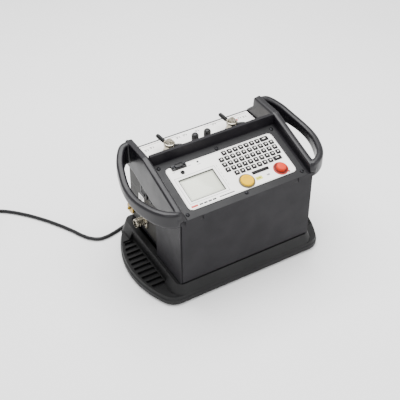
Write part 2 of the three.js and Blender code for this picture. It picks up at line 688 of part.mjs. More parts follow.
function handle(side) {
  const top = [
    [HANDLE_FRONT_Y, 200 + 8], [HANDLE_FRONT_Y + 1.5, 219], [HANDLE_FRONT_Y + 5, 222.5], [10, 261],
    [16, 263.5], [22, 264.5], [HANDLE_BACK_Y - 6, 264.5], [HANDLE_BACK_Y - 1, 262],
    [HANDLE_BACK_Y, 258], [HANDLE_BACK_Y + 3, 238],
    [CASE_BACK_Y, STRIP_Z + 4],
  ].reverse();
  const railUnder = [
    [HANDLE_FRONT_Y, planeZ(HANDLE_FRONT_Y) + GAP], [BAR_BACK_Y + GAP, planeZ(BAR_FRONT_Y) + 3],
    [BAR_BACK_Y + GAP, STRIP_Z + GAP], [CASE_BACK_Y, STRIP_Z + GAP],
  ];
  const skirtUnder = [
    [HANDLE_FRONT_Y, 197], [HANDLE_FRONT_Y + 5, 194], [-85, 187], [-40, 180],
    [NICHE_FRONT_Y, 178], [60, NICHE_TOP_Z + 4], [CASE_BACK_Y, NICHE_TOP_Z + 4],
  ];
  const rail = across([...railUnder, ...top], RAIL_INNER_X, RAIL_OUTER_X);
  const skirt = across([...skirtUnder, ...top], CASE_HALF_X + GAP, RAIL_OUTER_X);
  const seat = box(0, CASE_HALF_X + GAP, -200, 200, 0, 300);
  const free = cut(bow(), seat);
  const inBox = box(RAIL_INNER_X, CASE_HALF_X + 1, -200, 200, 0, 300);
  const overRail = bow().intersect(inBox).intersect(
    across([...railUnder, [CASE_BACK_Y, 300], [HANDLE_FRONT_Y, 300]], RAIL_INNER_X,
      RAIL_OUTER_X));
  const whole = join(rail, skirt, free, overRail);
  return side > 0 ? whole : whole.mirror([1, 0, 0]);
}

// ---------------------------------------------------------------- rear terminals

const PLATE_TOP = STRIP_Z + GAP + 1; // top of the white plate on the connection strip
const currentPlaces = [["c1", -CURRENT_X], ["c2", CURRENT_X]];
const potentialPlaces = [["p1", -POTENTIAL_X], ["p2", POTENTIAL_X]];

const standing = (body, x) => body.translate([x, TERMINAL_Y, 0]);

function terminalHoles() {
  const current = currentPlaces.map(([, x]) =>
    standing(disc(CURRENT_STUD.shank + GAP, 190, 260, 16), x));
  const potential = potentialPlaces.map(([, x]) =>
    standing(disc(POST.radius + GAP, 190, 260, 12), x));
  return [...current, ...potential];
}

function connectionPlate() {
  const plate = box(GAP - RAIL_INNER_X + 2, RAIL_INNER_X - 2 - GAP, BAR_BACK_Y + 3,
    CASE_BACK_Y - 3, STRIP_Z + GAP, PLATE_TOP);
  add("connection_plate", cut(plate, ...terminalHoles()), labelWhite);
}

function currentTerminal(name, x) {
  const footZ = PLATE_TOP + GAP;
  const footTop = footZ + INSULATOR.height;
  const insulator = ring(CURRENT_STUD.shank + GAP, INSULATOR.radius, footZ, footTop, 24);
  add(`${name}_insulator`, insulator, black).position.set(x, TERMINAL_Y, 0);
  const { radius, shank, top } = CURRENT_STUD;
  const stud = turned(
    [[0, STRIP_Z - 22], [shank, STRIP_Z - 22], [shank, footTop + GAP], [radius, footTop + GAP],
      [radius, STRIP_Z + top - 1.5], [radius - 1.5, STRIP_Z + top], [0, STRIP_Z + top]],
    18,
  );
  add(`${name}_stud`, stud, nickel).position.set(x, TERMINAL_Y, 0);
  const base = footTop + GAP;
  const bore = radius + BUTTON_CLEARANCE;
  const { hub, height, root, length, half } = WING_NUT;
  const lean = new THREE.Matrix4()
    .makeRotationY(-WING_RISE)
    .setPosition(root, 0, base + height - half);
  const wing = solid(geometryOf(box(0, length, -half, half, -half, half)).applyMatrix4(lean));
  const hubBody = disc(hub, base, base + height, 24);
  const whole = join(hubBody, wing, wing.rotate([0, 0, 180]));
  const nut = cut(whole, disc(bore, base - 1, base + 60, 24));
  const mesh = add(`${name}_lever`, nut, black);
  mesh.position.set(x, TERMINAL_Y, 0);
  mesh.rotation.z = WING_TURN;
}

function potentialTerminal(name, x) {
  const flangeZ = PLATE_TOP + GAP;
  const post = turned(
    [[0, STRIP_Z - 16], [POST.radius, STRIP_Z - 16], [POST.radius, flangeZ],
      [POST.flange, flangeZ], [POST.flange, flangeZ + 2], [POST.radius, flangeZ + 2],
      [POST.radius, STRIP_Z + POST.top], [0, STRIP_Z + POST.top]],
    14,
  );
  add(`${name}_post`, post, nickel).position.set(x, TERMINAL_Y, 0);
  const bore = POST.radius + BUTTON_CLEARANCE;
  const under = flangeZ + 2 + GAP;
  const top = STRIP_Z + CAP.top;
  const cap = turned(
    [[bore, under], [CAP.radius, under], [CAP.radius, top - 3], [CAP.radius - 2.6, top],
      [0, top + 0.6], [0, top - CAP.wall], [bore, top - CAP.wall], [bore, under]],
    20,
  );
  add(`${name}_cap`, cap, black).position.set(x, TERMINAL_Y, 0);
}

// ---------------------------------------------------------------- side panel

const sideX = -NICHE_X; // the niche's wall
const plateX = sideX - GAP - SIDE_PLATE_THICK; // outer face of the plate on it

function sidePlate() {
  const { y0, y1, z0, z1 } = SIDE_PLATE;
  const plate = box(plateX, sideX - GAP, y0, y1, z0, z1);
  const grown = (piece, extra) => alongX(disc(piece.radius + extra, -20, 20), sideX, piece.y, piece.z);
  const { y, z, width, height } = SWITCH;
  const window = box(plateX - 1, sideX, y - width / 2 - GAP, y + width / 2 + GAP,
    z - height / 2 - GAP, z + height / 2 + GAP);
  add("side_panel_plate", cut(plate, window, grown(FUSE, GAP), grown(EARTH, GAP),
    grown(REMOTE, GAP)), panelGrey);
}

function mainsSwitch() {
  const { y, z, width, height, rim, rise } = SWITCH;
  const outer = box(plateX - GAP - rise, plateX - GAP, y - width / 2 - rim, y + width / 2 + rim,
    z - height / 2 - rim, z + height / 2 + rim);
  const body = box(plateX - 1, sideX + 16, y - width / 2, y + width / 2, z - height / 2,
    z + height / 2);
  const well = box(plateX - 10, sideX + 12, y - ROCKER.width / 2 - 0.5, y + ROCKER.width / 2 + 0.5,
    z - ROCKER.height / 2 - 1.6, z + ROCKER.height / 2 + 1.6);
  add("mains_switch_frame", cut(join(outer, body), well), black);
  const rocker = across(
    [[-ROCKER.width / 2, -ROCKER.height / 2], [ROCKER.width / 2, -ROCKER.height / 2],
      [ROCKER.width / 2, ROCKER.height / 2], [-ROCKER.width / 2, ROCKER.height / 2]],
    -ROCKER.rise, 4);
  const dish = disc(24, -20, 20, 48);
  const hollow = solid(geometryOf(dish).rotateX(Math.PI / 2)).translate([-ROCKER.rise - 22.6, 0, 0]);
  const mesh = add("mains_switch_rocker", cut(rocker, hollow), black);
  mesh.position.set(sideX, y, z);
  mesh.rotation.y = ROCKER.tilt;
}

function sideFittings() {
  const turnedOut = (body, { y, z }) => alongX(body, sideX, y, z);
  const face = sideX - plateX + GAP; // a fitting's flange sits this far out from the wall
  const holder = ring(FUSE.cap + BUTTON_CLEARANCE, FUSE.radius, -14, face + 4, 24);
  add("fuse_holder", turnedOut(join(holder, disc(FUSE.radius, -14, -10, 24)), FUSE), black);
  const cap = join(
    disc(FUSE.cap, -4, face + FUSE.length, 24),
    box(-FUSE.cap + 1, FUSE.cap - 1, -1.2, 1.2, face + FUSE.length - 1, face + FUSE.length + 1),
  );
  add("fuse_cap", turnedOut(cap, FUSE), black);
  const stud = turned(
    [[0, -14], [EARTH.radius, -14], [EARTH.radius, face], [EARTH.flange, face],
      [EARTH.flange, face + 3], [EARTH.radius, face + 3], [EARTH.radius, face + EARTH.length],
      [0, face + EARTH.length]],
    14,
  );
  add("earth_stud", turnedOut(stud, EARTH), brass);
  const nut = ring(EARTH.radius + BUTTON_CLEARANCE, EARTH.knob, face + 5, face + 5 + EARTH.thick, 24);
  add("earth_knob", turnedOut(nut, EARTH), brass);
  const half = REMOTE.flange / 2;
  const shell = [
    ring(REMOTE.radius - 2, REMOTE.radius, -12, face + REMOTE.length, 24),
    box(-half, half, -half, half, face, face + 2.4),
    disc(REMOTE.radius - 1, -12, face + REMOTE.length - 3.5, 24),
  ];
  const screws = [-1, 1].flatMap((a) => [-1, 1].map((b) =>
    disc(1.3, -1, 20, 8).translate([a * (half - 3.6), b * (half - 3.6), 0])));
  add("remote_connector", turnedOut(cut(join(...shell), ...screws), REMOTE), nickel);
}

// ---------------------------------------------------------------- mains inlet, lead and plug

const inletFace = CASE_BACK_Y + GAP + INLET.flange;

function mainsInlet() {
  const { x, z, width, height, wall, depth } = INLET;
  const flange = box(x - width / 2, x + width / 2, CASE_BACK_Y + GAP, inletFace,
    z - height / 2, z + height / 2);
  const body = box(x - width / 2 + wall, x + width / 2 - wall, CASE_BACK_Y - depth,
    CASE_BACK_Y + 1, z - height / 2 + wall, z + height / 2 - wall);
  const socket = box(x - width / 2 + 2 * wall, x + width / 2 - 2 * wall,
    CASE_BACK_Y - depth + 3, inletFace + 1, z - height / 2 + 2 * wall, z + height / 2 - 2 * wall);
  add("mains_inlet", cut(join(flange, body), socket), black);
}

// A taper about Z, wide at its root, standing on z = 0.
const relief = () =>
  turned([[0, -2], [RELIEF.root, -2], [RELIEF.root, 1], [RELIEF.tip, RELIEF.length],
    [0, RELIEF.length]], 16);

function mainsConnector() {
  const { x, z, width, height, wall, depth } = INLET;
  const halfX = width / 2 - 2 * wall - GAP;
  const halfZ = height / 2 - 2 * wall - GAP;
  const nose = box(x - halfX, x + halfX, CASE_BACK_Y - depth + 4, inletFace + 2,
    z - halfZ, z + halfZ);
  const start = inletFace + GAP;
  const end = start + CONNECTOR_LENGTH;
  const body = box(x - halfX - 3, x + halfX + 3, start, end, z - halfZ - 3, z + halfZ + 3);
  const matrix = new THREE.Matrix4().makeRotationX(-Math.PI / 2).setPosition(x, end, z);
  const tail = solid(geometryOf(relief()).applyMatrix4(matrix));
  add("mains_connector", join(nose, body, tail), black);
}

function mainsLead() {
  const curve = new THREE.CatmullRomCurve3(
    CORD_ROUTE.map((p) => new THREE.Vector3(...p)), false, "centripetal");
  const section = shapeOf(
    Array.from({ length: CORD_SIDES }, (_, i) => {
      const turn = (2 * Math.PI * i) / CORD_SIDES;
      return [CORD_RADIUS * Math.cos(turn), CORD_RADIUS * Math.sin(turn)];
    }),
  );
  const tube = new THREE.ExtrudeGeometry(section, { steps: CORD_STEPS, extrudePath: curve });
  add("mains_cord", solid(tube), rubber);
  const inner = COIL.mean - COIL.band / 2;
  const outer = COIL.mean + COIL.band / 2;
  const coil = ring(inner, outer, 0, COIL.height, 40);
  add("cord_coil", coil, rubber).position.set(COIL.x, COIL.y, 0);
}

// The lead leaves the coil's outermost turn at its left side, heading forward into the plug.
function mainsPlug() {
  const turnRadius = COIL.mean + COIL.band / 2 - CORD_RADIUS;
  const outer = COIL.mean + COIL.band / 2;
  const reach = Math.sqrt((outer + 2 * GAP) ** 2 - (turnRadius - RELIEF.tip) ** 2);
  const { body, width, height, pin } = PLUG;
  const tipY = -reach;
  const backY = tipY - RELIEF.length;
  const frontY = backY - body;
  const tail = solid(
    geometryOf(relief()).applyMatrix4(
      new THREE.Matrix4().makeRotationX(-Math.PI / 2).setPosition(0, backY, 0)),
  );
  const pieces = [
    box(-width / 2, width / 2, frontY, backY, -height / 2, height / 2),
    box(-7.4, -5.9, frontY - pin, frontY + 2, -3.2, 3.2),
    box(5.9, 7.4, frontY - pin, frontY + 2, -3.2, 3.2),
    box(-2.4, 2.4, frontY - pin - 2, frontY + 2, 4.5, 9),
  ];
  add("mains_plug", join(tail, ...pieces), black).position.set(
    COIL.x - turnRadius, COIL.y, PLUG.z);
}

// ---------------------------------------------------------------- inside the case

function insides() {
  const floor = TRAY_FLOOR_Z + GAP;
  const core = join(
    box(-40, 40, -10, 50, floor, 88),
    box(-52, 52, 0, 40, floor + 14, 74),
  );
  add("power_transformer", core, windings).position.set(60, 20, 0);
  const halfX = CASE_HALF_X - CASE_WALL - 19;
  const frontY = CASE_FRONT_Y + CASE_WALL + 11;
  const posts = [-1, 1].flatMap((sx) => [frontY + 6, -2].map((y) =>
    disc(3, floor, BOARD_Z + 1, 10).translate([sx * (halfX - 7), y, 0])));
  const power = box(-halfX, halfX, frontY, 4, BOARD_Z, BOARD_Z + BOARD_THICK);
  add("power_board", join(power, ...posts), circuitGreen);
  const controls = box(-100, 118, 10, PANEL_LENGTH - 12, -20, BOARD_THICK - 20);
  add("control_board", cut(controls, ...buttonRooms()), circuitGreen, panel);
  const fins = Array.from({ length: 9 }, (_, i) => box(-45.2 + i * 11, -42.8 + i * 11, -32, 0, 0, 60));
  const sink = join(box(-48, 48, -6, 0, 0, 60), ...fins);
  add("heat_sink", sink, steel).position.set(-58, -40, floor);
}

// The fan draws air out through the slots in the right side.
function coolingFan() {
  const { x, y, z, half, depth, rotor, clearance } = FAN;
  const bore = disc(rotor + clearance, -depth, depth, 32);
  const frame = join(
    cut(box(-half, half, -half, half, -depth / 2, depth / 2), bore),
    box(-half, half, -2, 2, depth / 2 - 2, depth / 2),
    box(-2, 2, -half, half, depth / 2 - 2, depth / 2),
    disc(8, depth / 2 - 3, depth / 2, 16),
  );
  add("fan_frame", alongX(frame, x, y, z), black);
  const blades = Array.from({ length: 7 }, (_, i) => {
    const blade = geometryOf(box(5, rotor, -1, 1, -5, 5)).rotateX(0.6);
    return solid(blade.rotateZ((2 * Math.PI * i) / 7));
  });
  add("fan_rotor", alongX(join(disc(9, -7, 7, 20), ...blades), x, y, z), black);
}

const buttonRooms = () =>
  [TEST_KEY, STOP_KEY].map(({ x, v, radius }) => at(disc(radius + 4, -40, 0, 20), x, v));

function busBars() {
  for (const [name, x] of currentPlaces) {
    const bar = join(
      box(-9, 9, TERMINAL_Y - 12, TERMINAL_Y + 12, STRIP_Z - 28, STRIP_Z - 24),
      box(-9, 9, TERMINAL_Y + 8, TERMINAL_Y + 12, STRIP_Z - 90, STRIP_Z - 24),
    );
    add(`bus_bar_${name}`, bar, copper).position.set(x, 0, 0);
  }
}

// ---------------------------------------------------------------- the whole instrument

add("base_tray", footTray(), darkTray);
rubberFeet();
add("body_case", caseShell(), charcoal);
add("top_frame", topFrame(), charcoal);
add("handle_left", handle(-1), charcoal);
add("handle_right", handle(1), charcoal);
controlPanel();
display();
keypad();
panelScrews();
pushButton("test", TEST_KEY, yellow, black);
pushButton("stop", STOP_KEY, red, red);
panelConnectors();
connectionPlate();
currentPlaces.forEach(([name, x]) => currentTerminal(name, x));
potentialPlaces.forEach(([name, x]) => potentialTerminal(name, x));
sidePlate();
mainsSwitch();
sideFittings();
mainsInlet();
mainsConnector();
mainsLead();
mainsPlug();
insides();
coolingFan();
busBars();

export default group;
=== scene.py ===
# %% [markdown]
# A portable low-resistance ohmmeter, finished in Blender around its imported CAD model. The CAD model
# gives every size, place and joint. This script gives each piece its fine shape and its material.
# Everything is in metres, in the CAD model's own frame: X to the right, Y to the back and Z up.

# %% Load the frame
import math
import bpy
import bmesh
from mathutils import Matrix, Vector


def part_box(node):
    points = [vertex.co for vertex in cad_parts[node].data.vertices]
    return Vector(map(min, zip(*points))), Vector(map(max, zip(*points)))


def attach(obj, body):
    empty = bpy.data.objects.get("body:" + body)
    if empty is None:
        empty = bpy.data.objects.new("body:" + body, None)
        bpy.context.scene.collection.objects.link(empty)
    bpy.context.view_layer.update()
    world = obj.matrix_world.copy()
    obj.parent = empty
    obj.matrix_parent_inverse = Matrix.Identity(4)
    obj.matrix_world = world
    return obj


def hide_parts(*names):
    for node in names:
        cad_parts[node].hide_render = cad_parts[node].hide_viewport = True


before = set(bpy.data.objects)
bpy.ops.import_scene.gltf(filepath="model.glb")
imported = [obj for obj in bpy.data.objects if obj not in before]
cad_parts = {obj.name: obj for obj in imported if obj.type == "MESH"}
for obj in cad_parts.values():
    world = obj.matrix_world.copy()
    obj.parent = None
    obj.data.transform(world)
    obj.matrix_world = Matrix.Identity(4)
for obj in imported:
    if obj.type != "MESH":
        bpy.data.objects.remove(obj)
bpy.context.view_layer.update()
MM = 0.001

# %% [markdown]
# The camera stands to the left of the instrument's front and looks down on it at about forty degrees.
# It is kept well back, so that the case's upright edges stay nearly parallel.

# %% Camera
VIEW_TURN = math.radians(-30.47)
VIEW_RISE = math.radians(39.99)
VIEW_DISTANCE = 1781 * MM
LENS_MM = 80.46
AIM = Vector((-38.1, 0.0, 127.5)) * MM

camera_data = bpy.data.cameras.new("camera")
camera_data.lens = LENS_MM
camera_data.sensor_width = 36
camera_data.clip_end = 20
camera = bpy.data.objects.new("camera", camera_data)
bpy.context.scene.collection.objects.link(camera)
backward = Vector((
    math.sin(VIEW_TURN) * math.cos(VIEW_RISE),
    -math.cos(VIEW_TURN) * math.cos(VIEW_RISE),
    math.sin(VIEW_RISE),
))
camera.location = AIM + backward * VIEW_DISTANCE
camera.rotation_euler = backward.to_track_quat("Z", "Y").to_euler()
bpy.context.scene.camera = camera
print("camera at", [round(c, 3) for c in camera.location])

# %% [markdown]
# A node tree is easier to read when each node is one call that says what it is, how it is set and what
# feeds it. One small helper does that, and one function turns a screen colour into the linear colour
# that shaders work in.

# %% Helpers for materials
def linear(code):
    """An sRGB hex code as linear red, green, blue and alpha."""
    parts = [int(code[i:i + 2], 16) / 255 for i in (1, 3, 5)]
    return [c / 12.92 if c <= 0.04045 else ((c + 0.055) / 1.055) ** 2.4 for c in parts] + [1.0]


def add_node(tree, kind, settings=None, **inputs):
    """Adds a node. An input's name has _ for each space, and _0, _6 or _7 means a socket's number."""
    made = tree.nodes.new(kind)
    for name, value in (settings or {}).items():
        setattr(made, name, value)
    for name, value in inputs.items():
        key = int(name[1:]) if name[1:].isdigit() else name.replace("_", " ")
        if isinstance(value, bpy.types.NodeSocket):
            tree.links.new(value, made.inputs[key])
        else:
            made.inputs[key].default_value = value
    return made


def start_material(name):
    """A new material with its tree, its shader and the place on the object that patterns read."""
    material = bpy.data.materials.new(name)
    material.use_nodes = True
    tree = material.node_tree
    shader = tree.nodes["Principled BSDF"]
    place = add_node(tree, "ShaderNodeTexCoord").outputs["Object"]
    return material, tree, shader, place


def blotches(tree, place, size_mm, low, high, detail=3.0):
    """Soft patches of that size, as a number between low and high."""
    cloud = add_node(tree, "ShaderNodeTexNoise", Vector=place, Scale=1 / (size_mm * MM), Detail=detail)
    return add_node(tree, "ShaderNodeMapRange", Value=cloud.outputs["Fac"], From_Min=0.3,
                    From_Max=0.7, To_Min=low, To_Max=high).outputs["Result"]


def two_tones(tree, share, first, second):
    """A colour between two, by the share of the second."""
    mixed = add_node(tree, "ShaderNodeMix", {"data_type": "RGBA"}, _0=share, _6=first, _7=second)
    return mixed.outputs[2]


def relief(tree, height, depth_mm):
    """The bump that a height between 0 and 1 gives."""
    return add_node(tree, "ShaderNodeBump", Height=height, Distance=depth_mm * MM,
                    Strength=1.0).outputs["Normal"]

# %% [markdown]
# Most of what shows is moulded thermoplastic. The mould's spark-eroded skin leaves a fine, even grain,
# which breaks up reflections. Over a wide surface the colour and the gloss drift a little where hands
# and cleaning have polished it. One function makes the whole family, from dark case mouldings to keys.

# %% Moulded plastics
def moulded(name, colour, worn, grain_mm, roughness, depth_mm=0.03, drift_mm=70, sheen=0.5):
    """Grained thermoplastic: two close tones that drift, patchy gloss and a fine grain."""
    material, tree, shader, place = start_material(name)
    drift = blotches(tree, place, drift_mm, 0.0, 1.0)
    tree.links.new(two_tones(tree, drift, linear(colour), linear(worn)), shader.inputs["Base Color"])
    gloss = blotches(tree, place, drift_mm / 2, roughness - 0.05, roughness + 0.06)
    tree.links.new(gloss, shader.inputs["Roughness"])
    grain = blotches(tree, place, grain_mm, 0.0, 1.0, 2.0)
    tree.links.new(relief(tree, grain, depth_mm), shader.inputs["Normal"])
    shader.inputs["IOR"].default_value = 1.5
    shader.inputs["Specular IOR Level"].default_value = sheen
    return material


# polypropylene structural foam for the case: charcoal with a slight violet cast, a satin skin
case_plastic = moulded("charcoal_polypropylene_moulding", "#100e13", "#0d0b10", 1.6, 0.5, sheen=0.22)
# the same plastic on the handles, rubbed smoother by hands
grip_plastic = moulded("handle_polypropylene_rubbed", "#100e13", "#0d0c10", 1.8, 0.34, sheen=0.35)
# the tray is a darker, rougher moulding that takes the knocks
tray_plastic = moulded("tray_polypropylene_dark", "#0c0c0d", "#0a0a0b", 1.8, 0.5, 0.05, sheen=0.25)
# black nylon of sockets, switch and terminal parts
black_plastic = moulded("black_nylon_moulding", "#070708", "#0b0b0c", 1.1, 0.4, sheen=0.35)
# silicone rubber of the keypad: black and silky
key_rubber = moulded("black_silicone_keypad", "#050506", "#080809", 1.0, 0.5, sheen=0.2)
# natural and dyed vulcanised rubber
foot_rubber = moulded("moulded_rubber_feet", "#101010", "#171716", 1.4, 0.78, 0.06, sheen=0.2)
sheath_rubber = moulded("extruded_pvc_sheath", "#08080a", "#0c0c0e", 2.2, 0.45, 0.04, 25, sheen=0.3)
print(len(bpy.data.materials), "materials so far")

# %% [markdown]
# Metals: a polished coat shows as a low roughness, and turning or brushing leaves fine lines. Nickel
# plate is warm and bright, brass has gone slightly dull, and the screws are blackened steel.

# %% Metals
def metal(name, colour, tarnish, roughness, line_mm, depth_mm=0.01):
    """Worn metal: two close tones in patches, fine machining lines along one axis."""
    material, tree, shader, place = start_material(name)
    shader.inputs["Metallic"].default_value = 1.0
    patch = blotches(tree, place, 9, 0.0, 1.0, 5.0)
    tree.links.new(two_tones(tree, patch, linear(colour), linear(tarnish)), shader.inputs["Base Color"])
    gloss = blotches(tree, place, 6, roughness - 0.06, roughness + 0.1)
    tree.links.new(gloss, shader.inputs["Roughness"])
    stretched = add_node(tree, "ShaderNodeMapping", Vector=place, Scale=(0.05, 0.05, 1.0))
    lines = blotches(tree, stretched.outputs["Vector"], line_mm, 0.0, 1.0, 2.0)
    tree.links.new(relief(tree, lines, depth_mm), shader.inputs["Normal"])
    return material


nickel = metal("nickel_plated_brass", "#bdb7a9", "#8e8778", 0.24, 0.6)
brass = metal("machined_brass", "#a8893c", "#7a6228", 0.3, 0.6)
black_steel = metal("blackened_steel", "#3a3a3d", "#242426", 0.4, 0.5)
copper = metal("tinned_copper", "#c08058", "#8c5a3c", 0.4, 0.8)
extruded_aluminium = metal("extruded_aluminium", "#b4b6b9", "#94969a", 0.38, 0.5)
print(len(bpy.data.materials), "materials with the metals")

# %% [markdown]
# The panel plate is sheet aluminium with a sprayed satin paint. Sprayed paint dries with a slight
# orange-peel ripple. The white film on it is polycarbonate printed from behind, so it is smooth with a
# soft sheen. The two push buttons and the lamp are glossy acetal and acrylic.

# %% Paint, printed film and coloured plastics
def sprayed(name, colour, worn, roughness, peel_mm=2.4, sheen=0.5):
    """Sprayed satin paint with an orange-peel ripple."""
    material, tree, shader, place = start_material(name)
    drift = blotches(tree, place, 45, 0.0, 1.0)
    tree.links.new(two_tones(tree, drift, linear(colour), linear(worn)), shader.inputs["Base Color"])
    gloss = blotches(tree, place, 20, roughness - 0.04, roughness + 0.05)
    tree.links.new(gloss, shader.inputs["Roughness"])
    peel = blotches(tree, place, peel_mm, 0.0, 1.0, 1.0)
    tree.links.new(relief(tree, peel, 0.02), shader.inputs["Normal"])
    shader.inputs["Specular IOR Level"].default_value = sheen
    return material


panel_paint = sprayed("satin_painted_aluminium_grey", "#19191b", "#151517", 0.45, sheen=0.25)
# the side plate is pale paint, but its colour here is darkened: a painted shade for the shadow in the side
# niche
side_paint_darkened_for_shade = sprayed("satin_painted_aluminium_pale_in_painted_shade", "#24221f", "#1e1d1a", 0.5, sheen=0.2)
white_film = sprayed("printed_polycarbonate_film", "#fbf9f6", "#f4f2ee", 0.38, 6.0)
print_grey = sprayed("grey_screen_print", "#8c8c8c", "#808080", 0.45)
print_red = sprayed("red_screen_print", "#c22216", "#ae1c12", 0.45)
print_black = sprayed("black_screen_print", "#0c0c0e", "#141416", 0.45)
print_yellow = sprayed("yellow_screen_print", "#d9d84e", "#cfcf44", 0.45)
key_white = moulded("white_key_print", "#e9e7e2", "#dedcd6", 1.0, 0.4, 0.01, 12)
yellow_acetal = moulded("yellow_acetal_button", "#dfb000", "#d5a600", 1.5, 0.5, 0.01, 14, sheen=0.05)
olive_ring = moulded("olive_anodised_ring", "#5a4a0c", "#4a3c0a", 1.2, 0.4, 0.02, 14)
red_acetal = moulded("red_acetal_button", "#d2381c", "#c63017", 1.5, 0.45, 0.01, 14, sheen=0.2)
red_skirt = moulded("red_moulded_skirt", "#b02a1a", "#9c2214", 1.4, 0.38, 0.02, 14, sheen=0.3)
deep_red = moulded("dark_red_seal", "#64140c", "#541009", 1.2, 0.45, 0.02, 14, sheen=0.3)
gasket_grey = moulded("display_gasket_foam", "#3c3d3a", "#343532", 1.5, 0.7, 0.03, 14)
lamp_smoke = moulded("smoked_acrylic_lamp", "#2c2a2e", "#242226", 1.5, 0.2, 0.01, 6)


def liquid_crystal():
    """The display's reflective grey-green, with its dot grid drawn coarse enough to show."""
    material, tree, shader, place = start_material("liquid_crystal_display")
    cells = add_node(tree, "ShaderNodeTexBrick", {"offset": 0.0}, Vector=place, Scale=1 / (2.4 * MM),
                     Color1=linear("#dadccd"), Color2=linear("#d5d8c8"), Mortar=linear("#cfd2c2"),
                     Mortar_Size=0.06, Brick_Width=1.0, Row_Height=1.0)
    drift = blotches(tree, place, 40, 0.0, 0.35)
    shade = two_tones(tree, drift, cells.outputs["Color"], linear("#cdd1c0"))
    tree.links.new(shade, shader.inputs["Base Color"])
    gloss = blotches(tree, place, 30, 0.14, 0.2)
    tree.links.new(gloss, shader.inputs["Roughness"])
    shader.inputs["Coat Weight"].default_value = 0.4
    shader.inputs["Coat Roughness"].default_value = 0.05
    return material


def circuit_board():
    """Green solder mask with straight tracks and tinned pads."""
    material, tree, shader, place = start_material("green_solder_mask_board")
    tracks = add_node(tree, "ShaderNodeTexBrick", {"offset": 0.35}, Vector=place, Scale=1 / (6 * MM),
                      Color1=linear("#1f5a38"), Color2=linear("#245f3d"), Mortar=linear("#3d8055"),
                      Mortar_Size=0.07, Brick_Width=1.7, Row_Height=0.6)
    pads = add_node(tree, "ShaderNodeTexVoronoi", Vector=place, Scale=1 / (7 * MM))
    dots = add_node(tree, "ShaderNodeMapRange", Value=pads.outputs["Distance"], From_Min=0.16,
                    From_Max=0.2, To_Min=1.0, To_Max=0.0).outputs["Result"]
    shade = two_tones(tree, dots, tracks.outputs["Color"], linear("#c9c6bd"))
    tree.links.new(shade, shader.inputs["Base Color"])
    tree.links.new(blotches(tree, place, 12, 0.3, 0.45), shader.inputs["Roughness"])
    tree.links.new(relief(tree, tracks.outputs["Fac"], 0.05), shader.inputs["Normal"])
    return material


def wound_iron():
    """Varnished laminations: brown, with fine steps a few tenths of a millimetre apart."""
    material, tree, shader, place = start_material("varnished_laminations")
    layers = add_node(tree, "ShaderNodeTexWave", {"bands_direction": "Z"}, Vector=place,
                      Scale=1 / (40 * MM), Distortion=0.4, Detail=2.0)
    shade = two_tones(tree, layers.outputs["Fac"], linear("#5d4030"), linear("#3d2b22"))
    tree.links.new(shade, shader.inputs["Base Color"])
    tree.links.new(blotches(tree, place, 15, 0.35, 0.55), shader.inputs["Roughness"])
    tree.links.new(relief(tree, layers.outputs["Fac"], 0.1), shader.inputs["Normal"])
    return material


display_material = liquid_crystal()
display_border = sprayed("display_glass_border", "#c9ccbe", "#c2c5b7", 0.2, 8.0)
board_material = circuit_board()
iron_material = wound_iron()
print(len(bpy.data.materials), "materials in all")

# %% [markdown]
# Each piece is put together from parts, and each part is a small mesh of its own made by bmesh
# operators: a rounded block is a cube with bevelled edges, a slab is an outline that is raised, and a
# turned part is a profile spun about its axis. Where a hole is needed, an exact boolean cuts it.

# %% Parts
SHARP_DEGREES = 32  # faces that meet at more than this have a hard edge
SIDE_ON = Matrix(((0, 0, 1, 0), (1, 0, 0, 0), (0, 1, 0, 0), (0, 0, 0, 1)))  # outline in y and z


def bevel(bm, geometry, width, segments, affect="EDGES"):
    """Rounds edges or corners."""
    bmesh.ops.bevel(bm, geom=geometry, offset=width * MM, offset_type="OFFSET", segments=segments,
                    profile=0.5, affect=affect, material=-1, clamp_overlap=True)


def placed(part, matrix):
    """The same part, moved by a matrix whose shift is in metres."""
    bmesh.ops.transform(part, matrix=matrix, verts=part.verts)
    return part


def shift(x, y, z):
    """A move in millimetres."""
    return Matrix.Translation(Vector((x, y, z)) * MM)


def slab(outline, low, high, corner=0.0, edge=0.0, foot=0.0, segments=4):
    """An outline in millimetres, raised from low to high, with rounded corners and softened rims."""
    part = bmesh.new()
    face = part.faces.new([part.verts.new((x * MM, y * MM, low * MM)) for x, y in outline])
    if corner:
        bevel(part, list(part.verts), corner, segments, "VERTICES")
    raised = bmesh.ops.extrude_face_region(part, geom=list(part.faces))["geom"]
    top = [v for v in raised if isinstance(v, bmesh.types.BMVert)]
    bmesh.ops.translate(part, vec=(0, 0, (high - low) * MM), verts=top)
    for height, width in ((high, edge), (low, foot)):
        if width:
            rim = [e for e in part.edges if all(abs(v.co.z - height * MM) < 1e-8 for v in e.verts)]
            bevel(part, rim, width, 3)
    return part


def block(x, y, z, corner=0.0, edge=0.0, foot=0.0, segments=4):
    """A block between pairs of millimetres."""
    outline = [(x[0], y[0]), (x[1], y[0]), (x[1], y[1]), (x[0], y[1])]
    return slab(outline, z[0], z[1], corner, edge, foot, segments)


def turned(profile, steps=48):
    """Spins (radius, height) pairs in millimetres about Z into a closed skin."""
    part = bmesh.new()
    verts = [part.verts.new((r * MM, 0, z * MM)) for r, z in profile]
    edges = [part.edges.new(pair) for pair in zip(verts, verts[1:])]
    bmesh.ops.spin(part, geom=verts + edges, cent=(0, 0, 0), axis=(0, 0, 1), angle=math.tau,
                   steps=steps, use_merge=True, use_duplicate=False)
    bmesh.ops.remove_doubles(part, verts=part.verts, dist=1e-7)
    bmesh.ops.recalc_face_normals(part, faces=part.faces)
    return part


def into_mesh(part, name="part"):
    """Turns a part into a mesh and lets the part go."""
    mesh = bpy.data.meshes.new(name)
    part.to_mesh(mesh)
    part.free()
    return mesh


